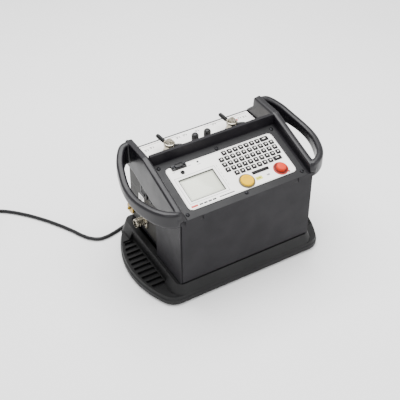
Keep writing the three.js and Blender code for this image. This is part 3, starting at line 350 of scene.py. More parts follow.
def gathered(parts):
    """Puts parts together into one. A part may be a pair with its material's number."""
    whole = bmesh.new()
    for entry in parts:
        part, number = entry if isinstance(entry, tuple) else (entry, 0)
        for face in part.faces:
            face.material_index = number
        mesh = into_mesh(part)
        whole.from_mesh(mesh)
        bpy.data.meshes.remove(mesh)
    return whole


def through(part, modify):
    """The part after modifiers that a function adds to it."""
    holder = bpy.data.objects.new("holder", into_mesh(part))
    bpy.context.scene.collection.objects.link(holder)
    modify(holder)
    seen = holder.evaluated_get(bpy.context.evaluated_depsgraph_get())
    result = bmesh.new()
    result.from_mesh(seen.to_mesh())
    seen.to_mesh_clear()
    bpy.data.objects.remove(holder)
    return result


def carved(part, *cutters):
    """The part with the cutters taken out of it."""
    knife = bpy.data.objects.new("knife", into_mesh(gathered(cutters)))
    bpy.context.scene.collection.objects.link(knife)
    bpy.context.view_layer.update()

    def cut(holder):
        step = holder.modifiers.new("cut", "BOOLEAN")
        step.operation = "DIFFERENCE"
        step.solver = "EXACT"
        step.use_self = True
        step.object = knife

    result = through(part, cut)
    bpy.data.objects.remove(knife)
    return result


def piece(name, parts, materials, body="root", replaces=(), place=None,
          angle=SHARP_DEGREES, outwards=True):
    """Turns parts into one finished piece that rides on a body."""
    whole = gathered(parts)
    if outwards:
        bmesh.ops.recalc_face_normals(whole, faces=whole.faces)
    if place is not None:
        placed(whole, place)
    mesh = into_mesh(whole, name)
    mesh.shade_smooth()
    mesh.set_sharp_from_angle(angle=math.radians(angle))
    made = bpy.data.objects.new(name, mesh)
    bpy.context.scene.collection.objects.link(made)
    for material in materials if isinstance(materials, (list, tuple)) else [materials]:
        mesh.materials.append(material)
    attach(made, body)
    if replaces:
        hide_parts(*replaces)
    print(name, "rides on", body + ":", len(mesh.polygons), "faces")
    return made

# %% [markdown]
# A moulding that the CAD model already describes well is a merged copy of its solid. Its triangles are
# joined into whole faces again, and a Bevel modifier gives each edge the small radius that a mould or a
# sheet-metal tool leaves. That radius is what catches the light along every edge.

# %% Softened copies of CAD solids
def merged_copy(node):
    """A CAD solid as one closed skin with whole flat faces."""
    part = bmesh.new()
    part.from_mesh(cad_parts[node].data)
    bmesh.ops.remove_doubles(part, verts=part.verts, dist=2e-5)
    bmesh.ops.dissolve_limit(part, angle_limit=math.radians(0.8), verts=part.verts,
                             edges=part.edges, use_dissolve_boundaries=False)
    return part


def from_cad(node, name, material, width):
    """A softened copy of a CAD solid that stands still."""
    made = piece(name, [merged_copy(node)], material, replaces=[node], outwards=False)
    rounding = made.modifiers.new("softened edges", "BEVEL")
    rounding.width = width * MM
    rounding.segments = 3
    rounding.limit_method = "ANGLE"
    rounding.angle_limit = math.radians(SHARP_DEGREES)
    rounding.harden_normals = True

# %% [markdown]
# The control panel slopes up to the back. Its pieces are made flat, with x to the right, v up the slope
# and h out of the panel, and one matrix then lays them on it. The plate's own box gives the place.

# %% The panel's own frame
PANEL_SLOPE = math.radians(16.4)
PLATE_THICK = 3.0
LABEL_TOP = 1.1
LABEL_HALF = 119.0
plate_low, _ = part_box("panel_plate")
panel_corner = Vector((0, plate_low.y, plate_low.z + PLATE_THICK * MM * math.cos(PANEL_SLOPE)))
ON_PANEL = Matrix.Translation(panel_corner) @ Matrix.Rotation(PANEL_SLOPE, 4, "X")
print("panel starts at", [round(c / MM, 1) for c in panel_corner], "mm")


def panel_spot(node):
    """The middle of a CAD node as x and v on the panel, in millimetres."""
    low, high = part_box(node)
    spot = ON_PANEL.inverted() @ ((low + high) / 2)
    return spot.x / MM, spot.y / MM

# %% [markdown]
# The lead leaves the inlet on the rear wall, drops to the bench and runs out to the left. What the view
# doesn't reach is wound into a coil, and ends in a moulded plug. The lead is one curve through listed
# points, and then the coil's turns, worked out by a loop: about two turns that wind inwards on the
# bench, and then about three that wind outwards on top of them.

# %% The mains lead
CORD_RADIUS = 3.75
CORD_ROUTE = [
    (-60, 172.9, 78), (-60, 187, 77.6), (-60.2, 201, 73.5), (-61, 213, 64.5),
    (-62.5, 220.5, 50.5), (-65.5, 221.5, 35), (-71, 215.5, 21.5), (-79, 203.5, 11),
    (-89, 188, 5.3), (-99.5, 172, 4), (-111, 156.5, 3.9), (-125, 144.5, 3.9),
    (-141.5, 136.5, 3.9), (-160, 130.5, 3.9), (-178, 125.5, 3.9), (-196, 123, 3.9),
    (-211, 125.5, 3.9), (-223.5, 134.5, 3.9), (-234, 148.5, 3.9), (-248, 177, 3.9),
    (-266, 209, 3.9), (-292, 248, 3.9), (-322, 284.5, 3.9), (-349, 309.6, 3.9),
    (-380.6, 329.4, 3.9),
]
coil_low, coil_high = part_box("cord_coil")
COIL_X, COIL_Y, _ = (coil_low + coil_high) / 2 / MM
BENCH_LAYER = 3.9  # height of a turn's middle on the bench
UPPER_LAYER = 11.4
COIL_STOPS = [(48.5, BENCH_LAYER), (41.0, BENCH_LAYER), (33.5, BENCH_LAYER), (33.5, UPPER_LAYER),
              (41.0, UPPER_LAYER), (48.5, UPPER_LAYER)]
PART_TURN = math.radians(121)  # what is left of a turn, from where the lead arrives to straight left
TURNS = 5
STEP_ARC = math.radians(115)  # the arc over which a turn steps to its next stop
POINTS_PER_TURN = 20


def coil_stop(swept):
    """A turn's radius and height after that much turning."""
    here = COIL_STOPS[0]
    for number, there in enumerate(COIL_STOPS[1:], start=1):
        start = number * (math.tau - STEP_ARC)
        share = min(1.0, max(0.0, (swept - start) / STEP_ARC))
        ease = share * share * (3 - 2 * share)
        here = [a + (b - a) * ease for a, b in zip(here, there)]
    return here


def coil_points():
    """The coil's turns, anticlockwise, from where the lead arrives."""
    whole = TURNS * math.tau + PART_TURN
    count = round(whole / math.tau * POINTS_PER_TURN)
    for i in range(count + 1):
        swept = whole * i / count
        radius, height = coil_stop(swept)
        angle = math.pi - PART_TURN + swept
        yield (COIL_X + radius * math.cos(angle), COIL_Y + radius * math.sin(angle), height)


_, plug_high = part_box("mains_plug")
route = [Vector(point) * MM for point in CORD_ROUTE + list(coil_points())[1:]]
route.append(Vector((route[-1].x, plug_high.y - 0.5 * MM, 11.3 * MM)))
curve = bpy.data.curves.new("mains_lead", "CURVE")
curve.dimensions = "3D"
curve.bevel_depth = CORD_RADIUS * MM
curve.bevel_resolution = 6
curve.use_fill_caps = True
curve.resolution_u = 6
spline = curve.splines.new("BEZIER")
spline.bezier_points.add(len(route) - 1)
for point, spot in zip(spline.bezier_points, route):
    point.co = spot
    point.handle_left_type = point.handle_right_type = "AUTO"
curve.materials.append(sheath_rubber)
lead = bpy.data.objects.new("mains_lead", curve)
bpy.context.scene.collection.objects.link(lead)
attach(lead, "root")
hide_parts("mains_cord", "cord_coil")

# %% [markdown]
# The lead is detachable, so its near end is a moulded connector in the inlet, and its far end is a
# moulded plug. Both are soft PVC moulded straight onto the sheath, with a ribbed sleeve that keeps the
# sheath from kinking. Each is built along Z, which points out along the lead, and then turned.

# %% Connector and plug
ALONG_LEAD = Matrix.Rotation(-math.pi / 2, 4, "X")
RELIEF_LENGTH = 26.0
RELIEF_RIBS = 5


def relief_sleeve():
    """A tapered sleeve with grooves between its ribs."""
    profile = [(0, -3), (7.0, -3), (7.0, 1)]
    pitch = (RELIEF_LENGTH - 4) / RELIEF_RIBS
    for i in range(RELIEF_RIBS):
        near = 1.5 + i * pitch
        radius = 6.9 - 2.1 * (i + 0.5) / RELIEF_RIBS
        profile += [(radius - 1.0, near), (radius - 1.0, near + 1.2), (radius, near + 1.6),
                    (radius - 0.2, near + pitch - 0.4)]
    profile += [(4.8, RELIEF_LENGTH - 1.6), (4.5, RELIEF_LENGTH - 0.3), (4.2, RELIEF_LENGTH),
                (0, RELIEF_LENGTH)]
    return turned(profile, 32)


def moulded_end(half_width, half_height, length, ribs):
    """A grip: a head, a narrower waist and finger ribs across it."""
    waist = length * 0.55
    parts = [
        block((-half_width, half_width), (-half_height, half_height), (-length, -waist), 3.2, 1.4, 1.0),
        block((3 - half_width, half_width - 3), (2.6 - half_height, half_height - 2.6),
              (-waist - 1, 0), 3.5, 2.2),
        relief_sleeve(),
    ]
    for i in range(ribs):
        low = -waist + 2.6 + i * 4.2
        parts.append(block((1.6 - half_width, half_width - 1.6), (1.2 - half_height, half_height - 1.2),
                           (low, low + 2.2), 3.2, 0.6, 0.6))
    return parts


CONNECTOR_LENGTH = 31.0
connector_low, connector_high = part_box("mains_connector")
connector_x = (connector_low.x + connector_high.x) / 2
connector_z = (connector_low.z + connector_high.z) / 2
connector_root = Vector((connector_x, connector_high.y - RELIEF_LENGTH * MM, connector_z))
nose = block((-10.4, 10.4), (-7.4, 7.4), (-CONNECTOR_LENGTH - 14, -CONNECTOR_LENGTH + 1), 2.5)
connector = piece("lead_connector", moulded_end(13.4, 10.4, CONNECTOR_LENGTH, 3) + [nose],
                  sheath_rubber, replaces=["mains_connector"],
                  place=Matrix.Translation(connector_root) @ ALONG_LEAD)

PLUG_LENGTH = 38.0
plug_root = Vector((route[-1].x, plug_high.y - RELIEF_LENGTH * MM, 11.25 * MM))
plug = piece("lead_plug", moulded_end(13.4, 10.9, PLUG_LENGTH, 4), sheath_rubber,
             replaces=["mains_plug"],
             place=Matrix.Translation(plug_root) @ ALONG_LEAD)
pin_low = -PLUG_LENGTH - 17.6
pins = [block((side * 6.65 - 0.75, side * 6.65 + 0.75), (-3.1, 3.1), (pin_low, -PLUG_LENGTH + 1),
              0.5, 0.0, 0.6) for side in (-1, 1)]
pins.append(placed(turned([(0, pin_low - 1.8), (1.6, pin_low - 1.8), (2.3, pin_low - 0.4),
                           (2.3, -PLUG_LENGTH + 1), (0, -PLUG_LENGTH + 1)], 24), shift(0, -6.7, 0)))
plug_pins = piece("lead_plug_pins", pins, nickel,
                  place=Matrix.Translation(plug_root) @ ALONG_LEAD)

# %% [markdown]
# The tray and the case are large structural mouldings that the CAD model already has: the ribbed decks,
# the plinth, the walls with their niche and slots. Modelling them again would only repeat it, so they
# are softened copies.

# %% Tray, feet and case
from_cad("base_tray", "tray_shell", tray_plastic, 1.1)
for number in range(1, 5):
    foot = f"rubber_foot_{number}"
    low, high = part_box(foot)
    middle = (low + high) / 2 / MM
    profile = [(0, 0.8), (8.6, 0.8), (9.2, 0), (11.6, 0), (12.6, 0.4), (13, 1.4), (13, 4.6), (0, 4.6)]
    piece(f"{foot}_ring", [turned(profile, 40)], foot_rubber, replaces=[foot],
          place=shift(middle.x, middle.y, 0))
from_cad("body_case", "case_shell", case_plastic, 1.0)
from_cad("top_frame", "top_frame_shell", case_plastic, 0.9)

# %% [markdown]
# The two bow handles are the instrument's most visible mouldings. Each is a rail along the side of the
# panel, with a skirt down the case, and a bow that stands out and drops to the front. The bow is a
# rounded section that is extruded from stop to stop. All three are then melted together by a voxel
# remesh and smoothed a little, because real handles flow from one surface into the next with fillets.

# %% Handles
CASE_HALF_X = 148.0
RAIL_INNER_X = 139.0
RAIL_OUTER_X = 153.0
PANEL_FRONT_Y = -118.0
PANEL_FRONT_Z = 204.0
HANDLE_BACK_Y = 86.0
CASE_BACK_Y = 110.0
STRIP_Z = 217.0
BAR_BACK_Y = 19.05
# how far the bow's middle stands out from the case, its y, and its top and bottom heights
BOW_STOPS = [
    (-2, 78, 262, 217), (17, 75, 262, 216), (34, 53, 252.5, 216), (43, 29, 243, 214.5),
    (50, 1, 235, 211), (52, -26, 231, 206.5), (48, -53, 229.5, 202), (36.5, -83, 228.5, 197),
    (23.5, -100, 227.5, 194), (9, -108.5, 226, 191.5), (-2, -110, 224.5, 190),
]
BOW_WIDTH = 14.5
BOW_CROWN = 5.8  # radius of the section's corners
BOW_STEPS = 60
RAIL_CROWN = 4.5
HANDLE_GRAIN = 1.25  # voxel of the remesh


def plane_z(y):
    """Height of the panel's plane."""
    return PANEL_FRONT_Z + (y - PANEL_FRONT_Y) * math.tan(PANEL_SLOPE)


def between(stops, along):
    """A smooth value at a place from 0 to 1 along the stops, by a Catmull-Rom spline."""
    spot = along * (len(stops) - 1)
    i = min(int(spot), len(stops) - 2)
    t = spot - i
    before, a, b, after = (stops[min(max(i + k, 0), len(stops) - 1)] for k in (-1, 0, 1, 2))
    return [0.5 * (2 * p1 + (p2 - p0) * t + (2 * p0 - 5 * p1 + 4 * p2 - p3) * t * t
                   + (3 * p1 - p0 - 3 * p2 + p3) * t ** 3)
            for p0, p1, p2, p3 in zip(before, a, b, after)]


def bow_station(along):
    """Where the bow's section stands, and how tall it is. Across it is x and up is y."""
    out, y, top, bottom = between(BOW_STOPS, along)
    nearby = min(along + 0.004, 1.0), max(along - 0.004, 0.0)
    ahead, behind = (between(BOW_STOPS, spot) for spot in nearby)
    heading = Vector((ahead[0] - behind[0], ahead[1] - behind[1], 0)).normalized()
    across = Vector((-heading.y, heading.x, 0))
    turn = Matrix((across, Vector((0, 0, 1)), heading)).transposed().to_4x4()
    return shift(CASE_HALF_X + out, y, (top + bottom) / 2) @ turn, (top - bottom) * MM


def bow():
    """The bow: a bar with a rounded crown, extruded from stop to stop."""
    half = BOW_WIDTH / 2
    place, tall = bow_station(0)
    low, high = -tall / 2 / MM, tall / 2 / MM
    part = bmesh.new()
    corners = [(-half, low), (half, low), (half, high), (-half, high)]
    part.faces.new([part.verts.new((x * MM, y * MM, 0)) for x, y in corners])
    bevel(part, list(part.verts), BOW_CROWN, 7, "VERTICES")
    placed(part, place)
    region = list(part.faces)
    for i in range(1, BOW_STEPS + 1):
        grown = bmesh.ops.extrude_face_region(part, geom=region)["geom"]
        verts = [g for g in grown if isinstance(g, bmesh.types.BMVert)]
        region = [g for g in grown if isinstance(g, bmesh.types.BMFace)]
        bmesh.ops.transform(part, matrix=place.inverted(), verts=verts)
        place, now_tall = bow_station(i / BOW_STEPS)
        for vert in verts:
            vert.co.y += (now_tall - tall) / 2 * math.copysign(1, vert.co.y)
        tall = now_tall
        bmesh.ops.transform(part, matrix=place, verts=verts)
    bmesh.ops.recalc_face_normals(part, faces=part.faces)
    return part


def melted(part, grain, passes):
    """Melts overlapping parts into one skin with small fillets."""
    def remesh(holder):
        step = holder.modifiers.new("melt", "REMESH")
        step.mode = "VOXEL"
        step.voxel_size = grain * MM

    result = through(part, remesh)
    for _ in range(passes):
        bmesh.ops.smooth_vert(result, verts=result.verts, factor=0.5, use_axis_x=True,
                              use_axis_y=True, use_axis_z=True)
    return result


def handle_parts():
    """The right handle, before it is melted."""
    top = [
        (CASE_BACK_Y, STRIP_Z + 4), (HANDLE_BACK_Y + 3, 240), (HANDLE_BACK_Y, 263.8),
        (16, 263.8), (-115, 222.5), (PANEL_FRONT_Y, 208),
    ]
    rail_under = [
        (PANEL_FRONT_Y, plane_z(PANEL_FRONT_Y) + 0.3), (BAR_BACK_Y + 0.3, plane_z(BAR_BACK_Y)),
        (BAR_BACK_Y + 0.3, STRIP_Z + 0.3), (CASE_BACK_Y, STRIP_Z + 0.3),
    ]
    skirt_under = [(PANEL_FRONT_Y, 197), (-113, 192), (-85, 187), (-40, 180), (-18, 178), (60, 204),
                   (CASE_BACK_Y, 204)]
    body = slab(rail_under + top, RAIL_INNER_X, RAIL_OUTER_X)
    crown = [e for e in body.edges if all(
        v.co.y > (plane_z(min(v.co.x / MM, BAR_BACK_Y)) + 8) * MM for v in e.verts)]
    bmesh.ops.bevel(body, geom=crown, offset=RAIL_CROWN * MM, offset_type="OFFSET", segments=4,
                    profile=0.5, affect="EDGES", material=-1, clamp_overlap=False)
    skirt = slab(skirt_under + top[:-2] + [(-114.5, 217), (PANEL_FRONT_Y, 206)],
                 CASE_HALF_X + 0.3, RAIL_OUTER_X, edge=2.0)
    inner = slab([(-200, 150), (200, 150), (200, 300), (-200, 300)], 100, RAIL_INNER_X + 1)
    low = [(-200, 150), (PANEL_FRONT_Y - 5, plane_z(PANEL_FRONT_Y - 5) + 0.3),
           (BAR_BACK_Y + 0.3, plane_z(BAR_BACK_Y)), (BAR_BACK_Y + 0.3, STRIP_Z + 0.3),
           (200, STRIP_Z + 0.3), (200, 150)]
    under = slab(low, 100, CASE_HALF_X + 0.3)
    return [placed(body, SIDE_ON), placed(skirt, SIDE_ON),
            carved(bow(), placed(inner, SIDE_ON), placed(under, SIDE_ON))]


for side, name in ((1, "handle_right"), (-1, "handle_left")):
    shape = melted(gathered(handle_parts()), HANDLE_GRAIN, 5)
    piece(f"{name}_moulding", [placed(shape, Matrix.Diagonal((side, 1, 1, 1)))], grip_plastic,
          replaces=[name], angle=60)

# %% [markdown]
# The panel is a sprayed sheet with a printed film on it. Both could be plain boxes, but knife edges
# catch no light, so both are softened copies.

# %% Panel plate and film
from_cad("panel_plate", "panel_plate_sheet", panel_paint, 0.5)
from_cad("panel_label", "panel_film", white_film, 0.25)

# %% [markdown]
# The marks are screen-printed ink, about a tenth of a millimetre thick: plain lines and bars that stand
# for legends, with no words. They are so simple that each is a thin slab instead of an image on the
# film. All the marks of one colour are one piece.

# %% Print on the film
INK = 0.12  # thickness of printed ink
INK_SUNK = 0.05  # how far a mark reaches into what it is printed on


def ink(x, v, corner=0.3, base=LABEL_TOP):
    """A printed bar."""
    return block(x, v, (base - INK_SUNK, base + INK), corner, segments=2)


def ink_frame(x, v, line):
    """A printed outline of a rectangle on the film."""
    return [ink(x, (v[0], v[0] + line), 0.1),
            ink(x, (v[1] - line, v[1]), 0.1),
            ink((x[0], x[0] + line), (v[0] + line, v[1] - line), 0.1),
            ink((x[1] - line, x[1]), (v[0] + line, v[1] - line), 0.1)]


LCD_X = (-107.0, -31.5)
LCD_V = (33.0, 86.0)
grey_marks = ink_frame((LCD_X[0] - 5.5, LCD_X[1] + 5.5), (LCD_V[0] - 4.5, LCD_V[1] + 5), 0.7)
grey_marks += [ink((-22, -21.3), (40 + i * 9, 45 + i * 9)) for i in range(6)]
grey_marks += [ink((-54, -47), (104.8, 105.8)), ink((57.5, 64.5), (28.6, 32.4), 1.6),
               ink((-108, -103), (104.5, 105.5)), ink((-72, -66), (108.5, 109.5))]
grey_marks += ink_frame((-LABEL_HALF + 1.4, LABEL_HALF - 1.4), (17.5, 116.6), 0.45)
piece("panel_print_grey", grey_marks, print_grey, place=ON_PANEL)
piece("panel_print_yellow", [ink((32.5, 47), (26.4, 34.2), 1.0)], print_yellow,
      place=ON_PANEL)
piece("panel_print_red", [ink((-113, -99), (20.4, 24.4), 0.6)], print_red,
      place=ON_PANEL)
black_marks = [ink((-96 + i * 9.5, -88.5 + i * 9.5), (20.6, 23.8), 0.4) for i in range(4)]
black_marks += [ink((-52, -20), (21.4, 23.4), 0.4), ink((35, 44), (29.6, 31.0), 0.4)]
piece("panel_print_black", black_marks, print_black, place=ON_PANEL)

# %% [markdown]
# The display sits in a window of the panel: a dark grey foam gasket lines it, and the glass lies deep
# in it, so that the rim throws a thin shadow on it. The glass is one slab, with the active area as a
# very low step in its own tone.

# %% Display
def in_window(inset_x, inset_v, h, corner, edge=0.0):
    """A block in the display's window, smaller than it all round."""
    return block((LCD_X[0] + inset_x, LCD_X[1] - inset_x), (LCD_V[0] + inset_v, LCD_V[1] - inset_v), h,
                 corner, edge)


gasket = carved(in_window(0.1, 0.1, (-2.6, 1.25), 0.6), in_window(1.1, 1.1, (-5, 5), 0.8))
piece("display_gasket", [gasket], gasket_grey, place=ON_PANEL)
glass = in_window(0.4, 0.4, (-2.5, -1.6), 0.5, 0.2)
active = in_window(5.5, 5, (-1.7, -1.52), 0.5, 0.08)
piece("display_glass", [(glass, 0), (active, 1)], [display_border, display_material],
      replaces=["lcd_window"], place=ON_PANEL)

# %% [markdown]
# The keyboard is one silicone mat whose keys stand up through the film: three rows of ten keys, a row
# of seven with a wide key behind them and another in front, and a space bar. Each key is a rounded
# block with a softened top, and carries a white printed field instead of a letter.

# %% Keyboard
KEY_PITCH = 12.7
KEY_SIZE = 9.9
KEY_TOP = LABEL_TOP + 1.4
KEY_FIRST_X = -5.7
KEY_BACK_V = 109.0
WIDE_EXTRA = 8.0
SPACE_X, SPACE_V, SPACE_WIDTH, SPACE_DEPTH = 51.5, 44.8, 37.0, 6.5
MAT = (-3.0, -0.3)  # the underside and the top of the mat
# first column, how many keys, and where a wide key's middle stands, in columns
KEY_ROWS = [(1, 7, 8.25), (0, 10, None), (0, 10, None), (0, 10, None), (1, 7, 8.25)]

keys, fields = [], []


def lay_key(x, v, width, depth, field_width, field_depth):
    """One key and its printed field."""
    keys.append(block((x - width / 2, x + width / 2), (v - depth / 2, v + depth / 2),
                      (-2.8, KEY_TOP), 2.3, 0.7))
    if field_width:
        fields.append(block((x - field_width / 2, x + field_width / 2),
                            (v - field_depth / 2 + 0.4, v + field_depth / 2 + 0.4),
                            (KEY_TOP - 0.05, KEY_TOP + 0.1), 1.2, segments=3))


for row, (first, count, wide) in enumerate(KEY_ROWS):
    key_v = KEY_BACK_V - row * KEY_PITCH
    for column in range(first, first + count):
        lay_key(KEY_FIRST_X + column * KEY_PITCH, key_v, KEY_SIZE, KEY_SIZE, 3.5, 3.0)
    if wide:
        lay_key(KEY_FIRST_X + wide * KEY_PITCH, key_v, KEY_SIZE + WIDE_EXTRA, KEY_SIZE, 7.0, 2.2)
lay_key(SPACE_X, SPACE_V, SPACE_WIDTH, SPACE_DEPTH, 0, 0)
mat = block((KEY_FIRST_X - 6, KEY_FIRST_X + 9.5 * KEY_PITCH - 0.5), (52.5, 114.8), MAT, 1.0)
tongue = block((SPACE_X - 19, SPACE_X + 19), (41.2, 54), MAT, 1.0)
print(len(keys), "keys,", len(fields), "printed fields")
piece("keyboard_mat", [mat, tongue] + keys, key_rubber, replaces=["keypad_mat"],
      place=ON_PANEL)
piece("keyboard_fields", fields, key_white, place=ON_PANEL)

# %% [markdown]
# Two round push buttons flank the space bar: a wide yellow one that starts a test, and a red domed one
# that stops it, in a dark red ring. Each is a turned cap that slides in its ring, on its own body.

# %% Push buttons
def push_button(name, cap_profile, ring_profile, cap_finish, ring_finish):
    """A cap on its own body, and the ring that guides it."""
    x, v = panel_spot(f"{name}_button")
    place = ON_PANEL @ shift(x, v, 0)
    piece(f"{name}_cap", [turned(cap_profile, 64)], cap_finish, f"{name}_button",
          [f"{name}_button"], place)
    piece(f"{name}_ring", [turned(ring_profile, 64)], ring_finish, "root",
          [f"{name}_bezel"], place)
    return place


push_button("test", [(0, -7), (13, -7), (13, 3.9), (12.7, 4.9), (12.0, 5.6), (10.8, 6.0), (8.6, 6.1),
                     (7.8, 5.8), (0, 5.7)],
            [(13.4, -8.9), (15.3, -8.9), (15.3, 1.4), (16.2, 1.4), (16.1, 2.2), (15.4, 2.9),
             (14.2, 3.3), (13.4, 3.2), (13.4, -8.9)],
            yellow_acetal, olive_ring)
stop_place = push_button(
    "stop", [(0, -7), (9.6, -7), (9.6, 7.4), (9.3, 8.7), (8.6, 9.6), (7.2, 10.2), (4.5, 10.5), (0, 10.5)],
    [(10, -8.9), (11.9, -8.9), (11.9, 1.4), (12.8, 1.4), (12.7, 2.3), (11.8, 3.1), (10.6, 3.3),
     (10, 3.2), (10, -8.9)],
    red_acetal, deep_red)

# %% [markdown]
# The stop button's ring stands in a wider moulded red skirt with one squared corner. The round part is
# turned, and the corner is a small slab that meets it.

# %% Stop button's skirt
skirt = turned([(12.1, LABEL_TOP - 0.05), (15.3, LABEL_TOP - 0.05), (15.3, 1.6), (14.6, 2.3), (13.2, 2.5),
                (12.9, 1.2), (12.1, 1.2), (12.1, LABEL_TOP - 0.05)], 64)
corner = slab([(9.5, -13.8), (13.6, -13.8), (13.6, -9.5), (10.8, -10.4)], LABEL_TOP - 0.05, 2.3, 0.8, 0.3)
piece("stop_skirt", [skirt, corner], red_skirt, place=stop_place)

# %% [markdown]
# Six blackened pan-head screws hold the panel down, each with a cross recess, in a thin cup washer. The
# recess is cut with a boolean, because its flat walls meet a turned head. No two recesses are turned
# alike, as a hand leaves them.

# %% Panel screws
for number in range(1, 7):
    screw = f"panel_screw_{number}"
    head = turned([(0, -7.6), (1.4, -7.6), (1.4, 0.3), (3.4, 0.3), (3.4, 1.3), (3.0, 2.0), (2.0, 2.5),
                   (0, 2.7)], 32)
    turn = Matrix.Rotation(math.radians(23 * number), 4, "Z")
    cross = [placed(block((-2.0, 2.0), (-0.4, 0.4), (1.3, 4)), turn),
             placed(block((-0.4, 0.4), (-2.0, 2.0), (1.3, 4)), turn)]
    cup = turned([(3.45, 0.05), (4.1, 0.05), (4.0, 0.9), (3.6, 1.3), (3.45, 1.3), (3.45, 0.05)], 40)
    piece(f"{screw}_head", [carved(head, *cross), cup], black_steel, replaces=[screw],
          place=ON_PANEL @ shift(*panel_spot(screw), 0))

# %% [markdown]
# Behind the display is a nine-way serial port with a D-shaped metal shell and two jack posts. A D is a
# trapezoid with rounded corners, so the shell starts from four vertices. The posts are hexagonal, which
# a spin in six steps gives.

# %% Serial port
SERIAL_X, SERIAL_V = -90.0, 115.0
JACK_POST_X = 12.4  # from the port's middle to each jack post
PIN_PITCH = 2.7
d_outline = [(-8.2, -4.1), (8.2, -4.1), (9.2, 4.1), (-9.2, 4.1)]
d_inner = [(-7.3, -3.3), (7.3, -3.3), (8.2, 3.3), (-8.2, 3.3)]
shell = carved(slab(d_outline, 3.8, 6.9, 2.0, 0.3), slab(d_inner, 4.6, 8, 1.6))
base = block((-15.4, 15.4), (-6.2, 6.2), (1.3, 4.0), 1.8, 0.7)
shank = block((-11.5, 11.5), (-4, 4), (-7.6, 1.5), 1.0)
holes = [placed(turned([(0, -1), (0.55, -1), (0.55, 1), (0, 1)], 12),
                shift((i - 2) * PIN_PITCH if i < 5 else (i - 6.5) * PIN_PITCH, 1.3 if i < 5 else -1.3, 5.4))
         for i in range(9)]
core = carved(slab(d_inner, 4.4, 5.6, 1.6), *holes)
posts = [placed(turned([(0, 3.8), (2.5, 3.8), (2.5, 6.3), (2.1, 6.9), (1.0, 6.9), (1.0, 5.2), (0, 5.2)], 6),
                shift(side * JACK_POST_X, 0, 0)) for side in (-1, 1)]
piece("serial_port_shell", [(base, 0), (shank, 0), (shell, 1), (core, 0)] + [(p, 1) for p in posts],
      [black_plastic, black_steel], replaces=["serial_port"],
      place=ON_PANEL @ shift(SERIAL_X, SERIAL_V, 0))

# %% [markdown]
# In front of the port is a small jack with a ring nut, and to its right a smoked lamp. Both are turned.

# %% Jack and lamp
jack = [turned([(1.7, -5.8), (3.5, -5.8), (3.5, 3.0), (3.1, 3.6), (2.3, 3.6), (1.7, 3.0), (1.7, -5.8)], 32),
        turned([(0, -5.8), (1.8, -5.8), (1.8, -2.5), (0, -2.5)], 24),
        turned([(3.4, 1.15), (4.7, 1.15), (4.7, 2.0), (4.3, 2.4), (3.4, 2.4), (3.4, 1.15)], 6)]
piece("aux_jack_socket", jack, black_plastic, replaces=["aux_jack"],
      place=ON_PANEL @ shift(*panel_spot("aux_jack"), 0))
lamp = turned([(0, -3.9), (1.9, -3.9), (1.9, 1.6), (1.6, 2.1), (0.9, 2.4), (0, 2.5)], 32)
piece("status_lamp", [lamp], lamp_smoke, replaces=["status_led"],
      place=ON_PANEL @ shift(*panel_spot("status_led"), 0))

# %% [markdown]
# The rear terminals stand on a white film, with small dark marks and two red ones behind them. The
# film is a softened copy, and the marks are ink, as on the panel.

# %% Connection strip
TERMINAL_Y = 60.05
STRIP_TOP = 218.3
from_cad("connection_plate", "connection_film", white_film, 0.3)


def strip_ink(x, y):
    """A printed bar on the strip."""
    return ink(x, y, 0.3, STRIP_TOP)


strip_marks = []
for x, y in ((-108, 90), (-95, 93), (-34, 96), (-18, 97), (10, 97), (52, 100), (108, 92), (120, 91)):
    strip_marks += [strip_ink((x - 2.6, x + 2.6), (y + 1.0, y + 2.6)),
                    strip_ink((x - 2.6, x + 0.6), (y - 2.6, y - 1.0)),
                    strip_ink((x + 4.2, x + 5.6), (y - 2.6, y + 2.6))]
strip_marks += [strip_ink((-131, -30), (102.2, 102.9)), strip_ink((30, 131), (102.2, 102.9))]
piece("connection_print_black", strip_marks, print_black)
piece("connection_print_red", [strip_ink((98, 104), (86, 92)), strip_ink((-120, -115), (84, 89))],
      print_red)

# %% [markdown]
# The two current terminals are large nickel studs, each with a wing nut that clamps a cable lug: a
# nickel hub with two plastic-coated wings that lean up. A real thread is a helix, but at this size a
# stack of low rings looks the same and is a plain turned profile. Heights are above the bench. The
# necks of the wings are cut by the nut's bore, so that nothing crosses the stud.

# %% Current terminals
def threads(radius, low, high, pitch=2.0, depth=0.7):
    """The side of a threaded rod as a profile of low rings, without its ends."""
    count = int((high - low) / pitch)
    profile = []
    for i in range(count):
        profile += [(radius, low + (i + 0.25) * pitch), (radius - depth, low + (i + 0.75) * pitch)]
    return profile


WING_RISE = math.radians(25)
WING_TURN = math.radians(115)  # where one wing points, from X; the other points away from it


def wing_grip():
    """One plastic-coated wing, from the hub outwards along Z."""
    profile = [(0, 2), (3.1, 2), (3.6, 4)]
    for i in range(5):
        near = 5 + i * 3.1
        swell = 4.55 - abs(i - 2.6) * 0.16
        profile += [(swell - 0.5, near), (swell, near + 0.7), (swell, near + 2.2), (swell - 0.5, near + 2.9)]
    profile += [(4.2, 21.2), (3.5, 23.2), (2.0, 24.5), (0, 24.9)]
    return turned(profile, 32)


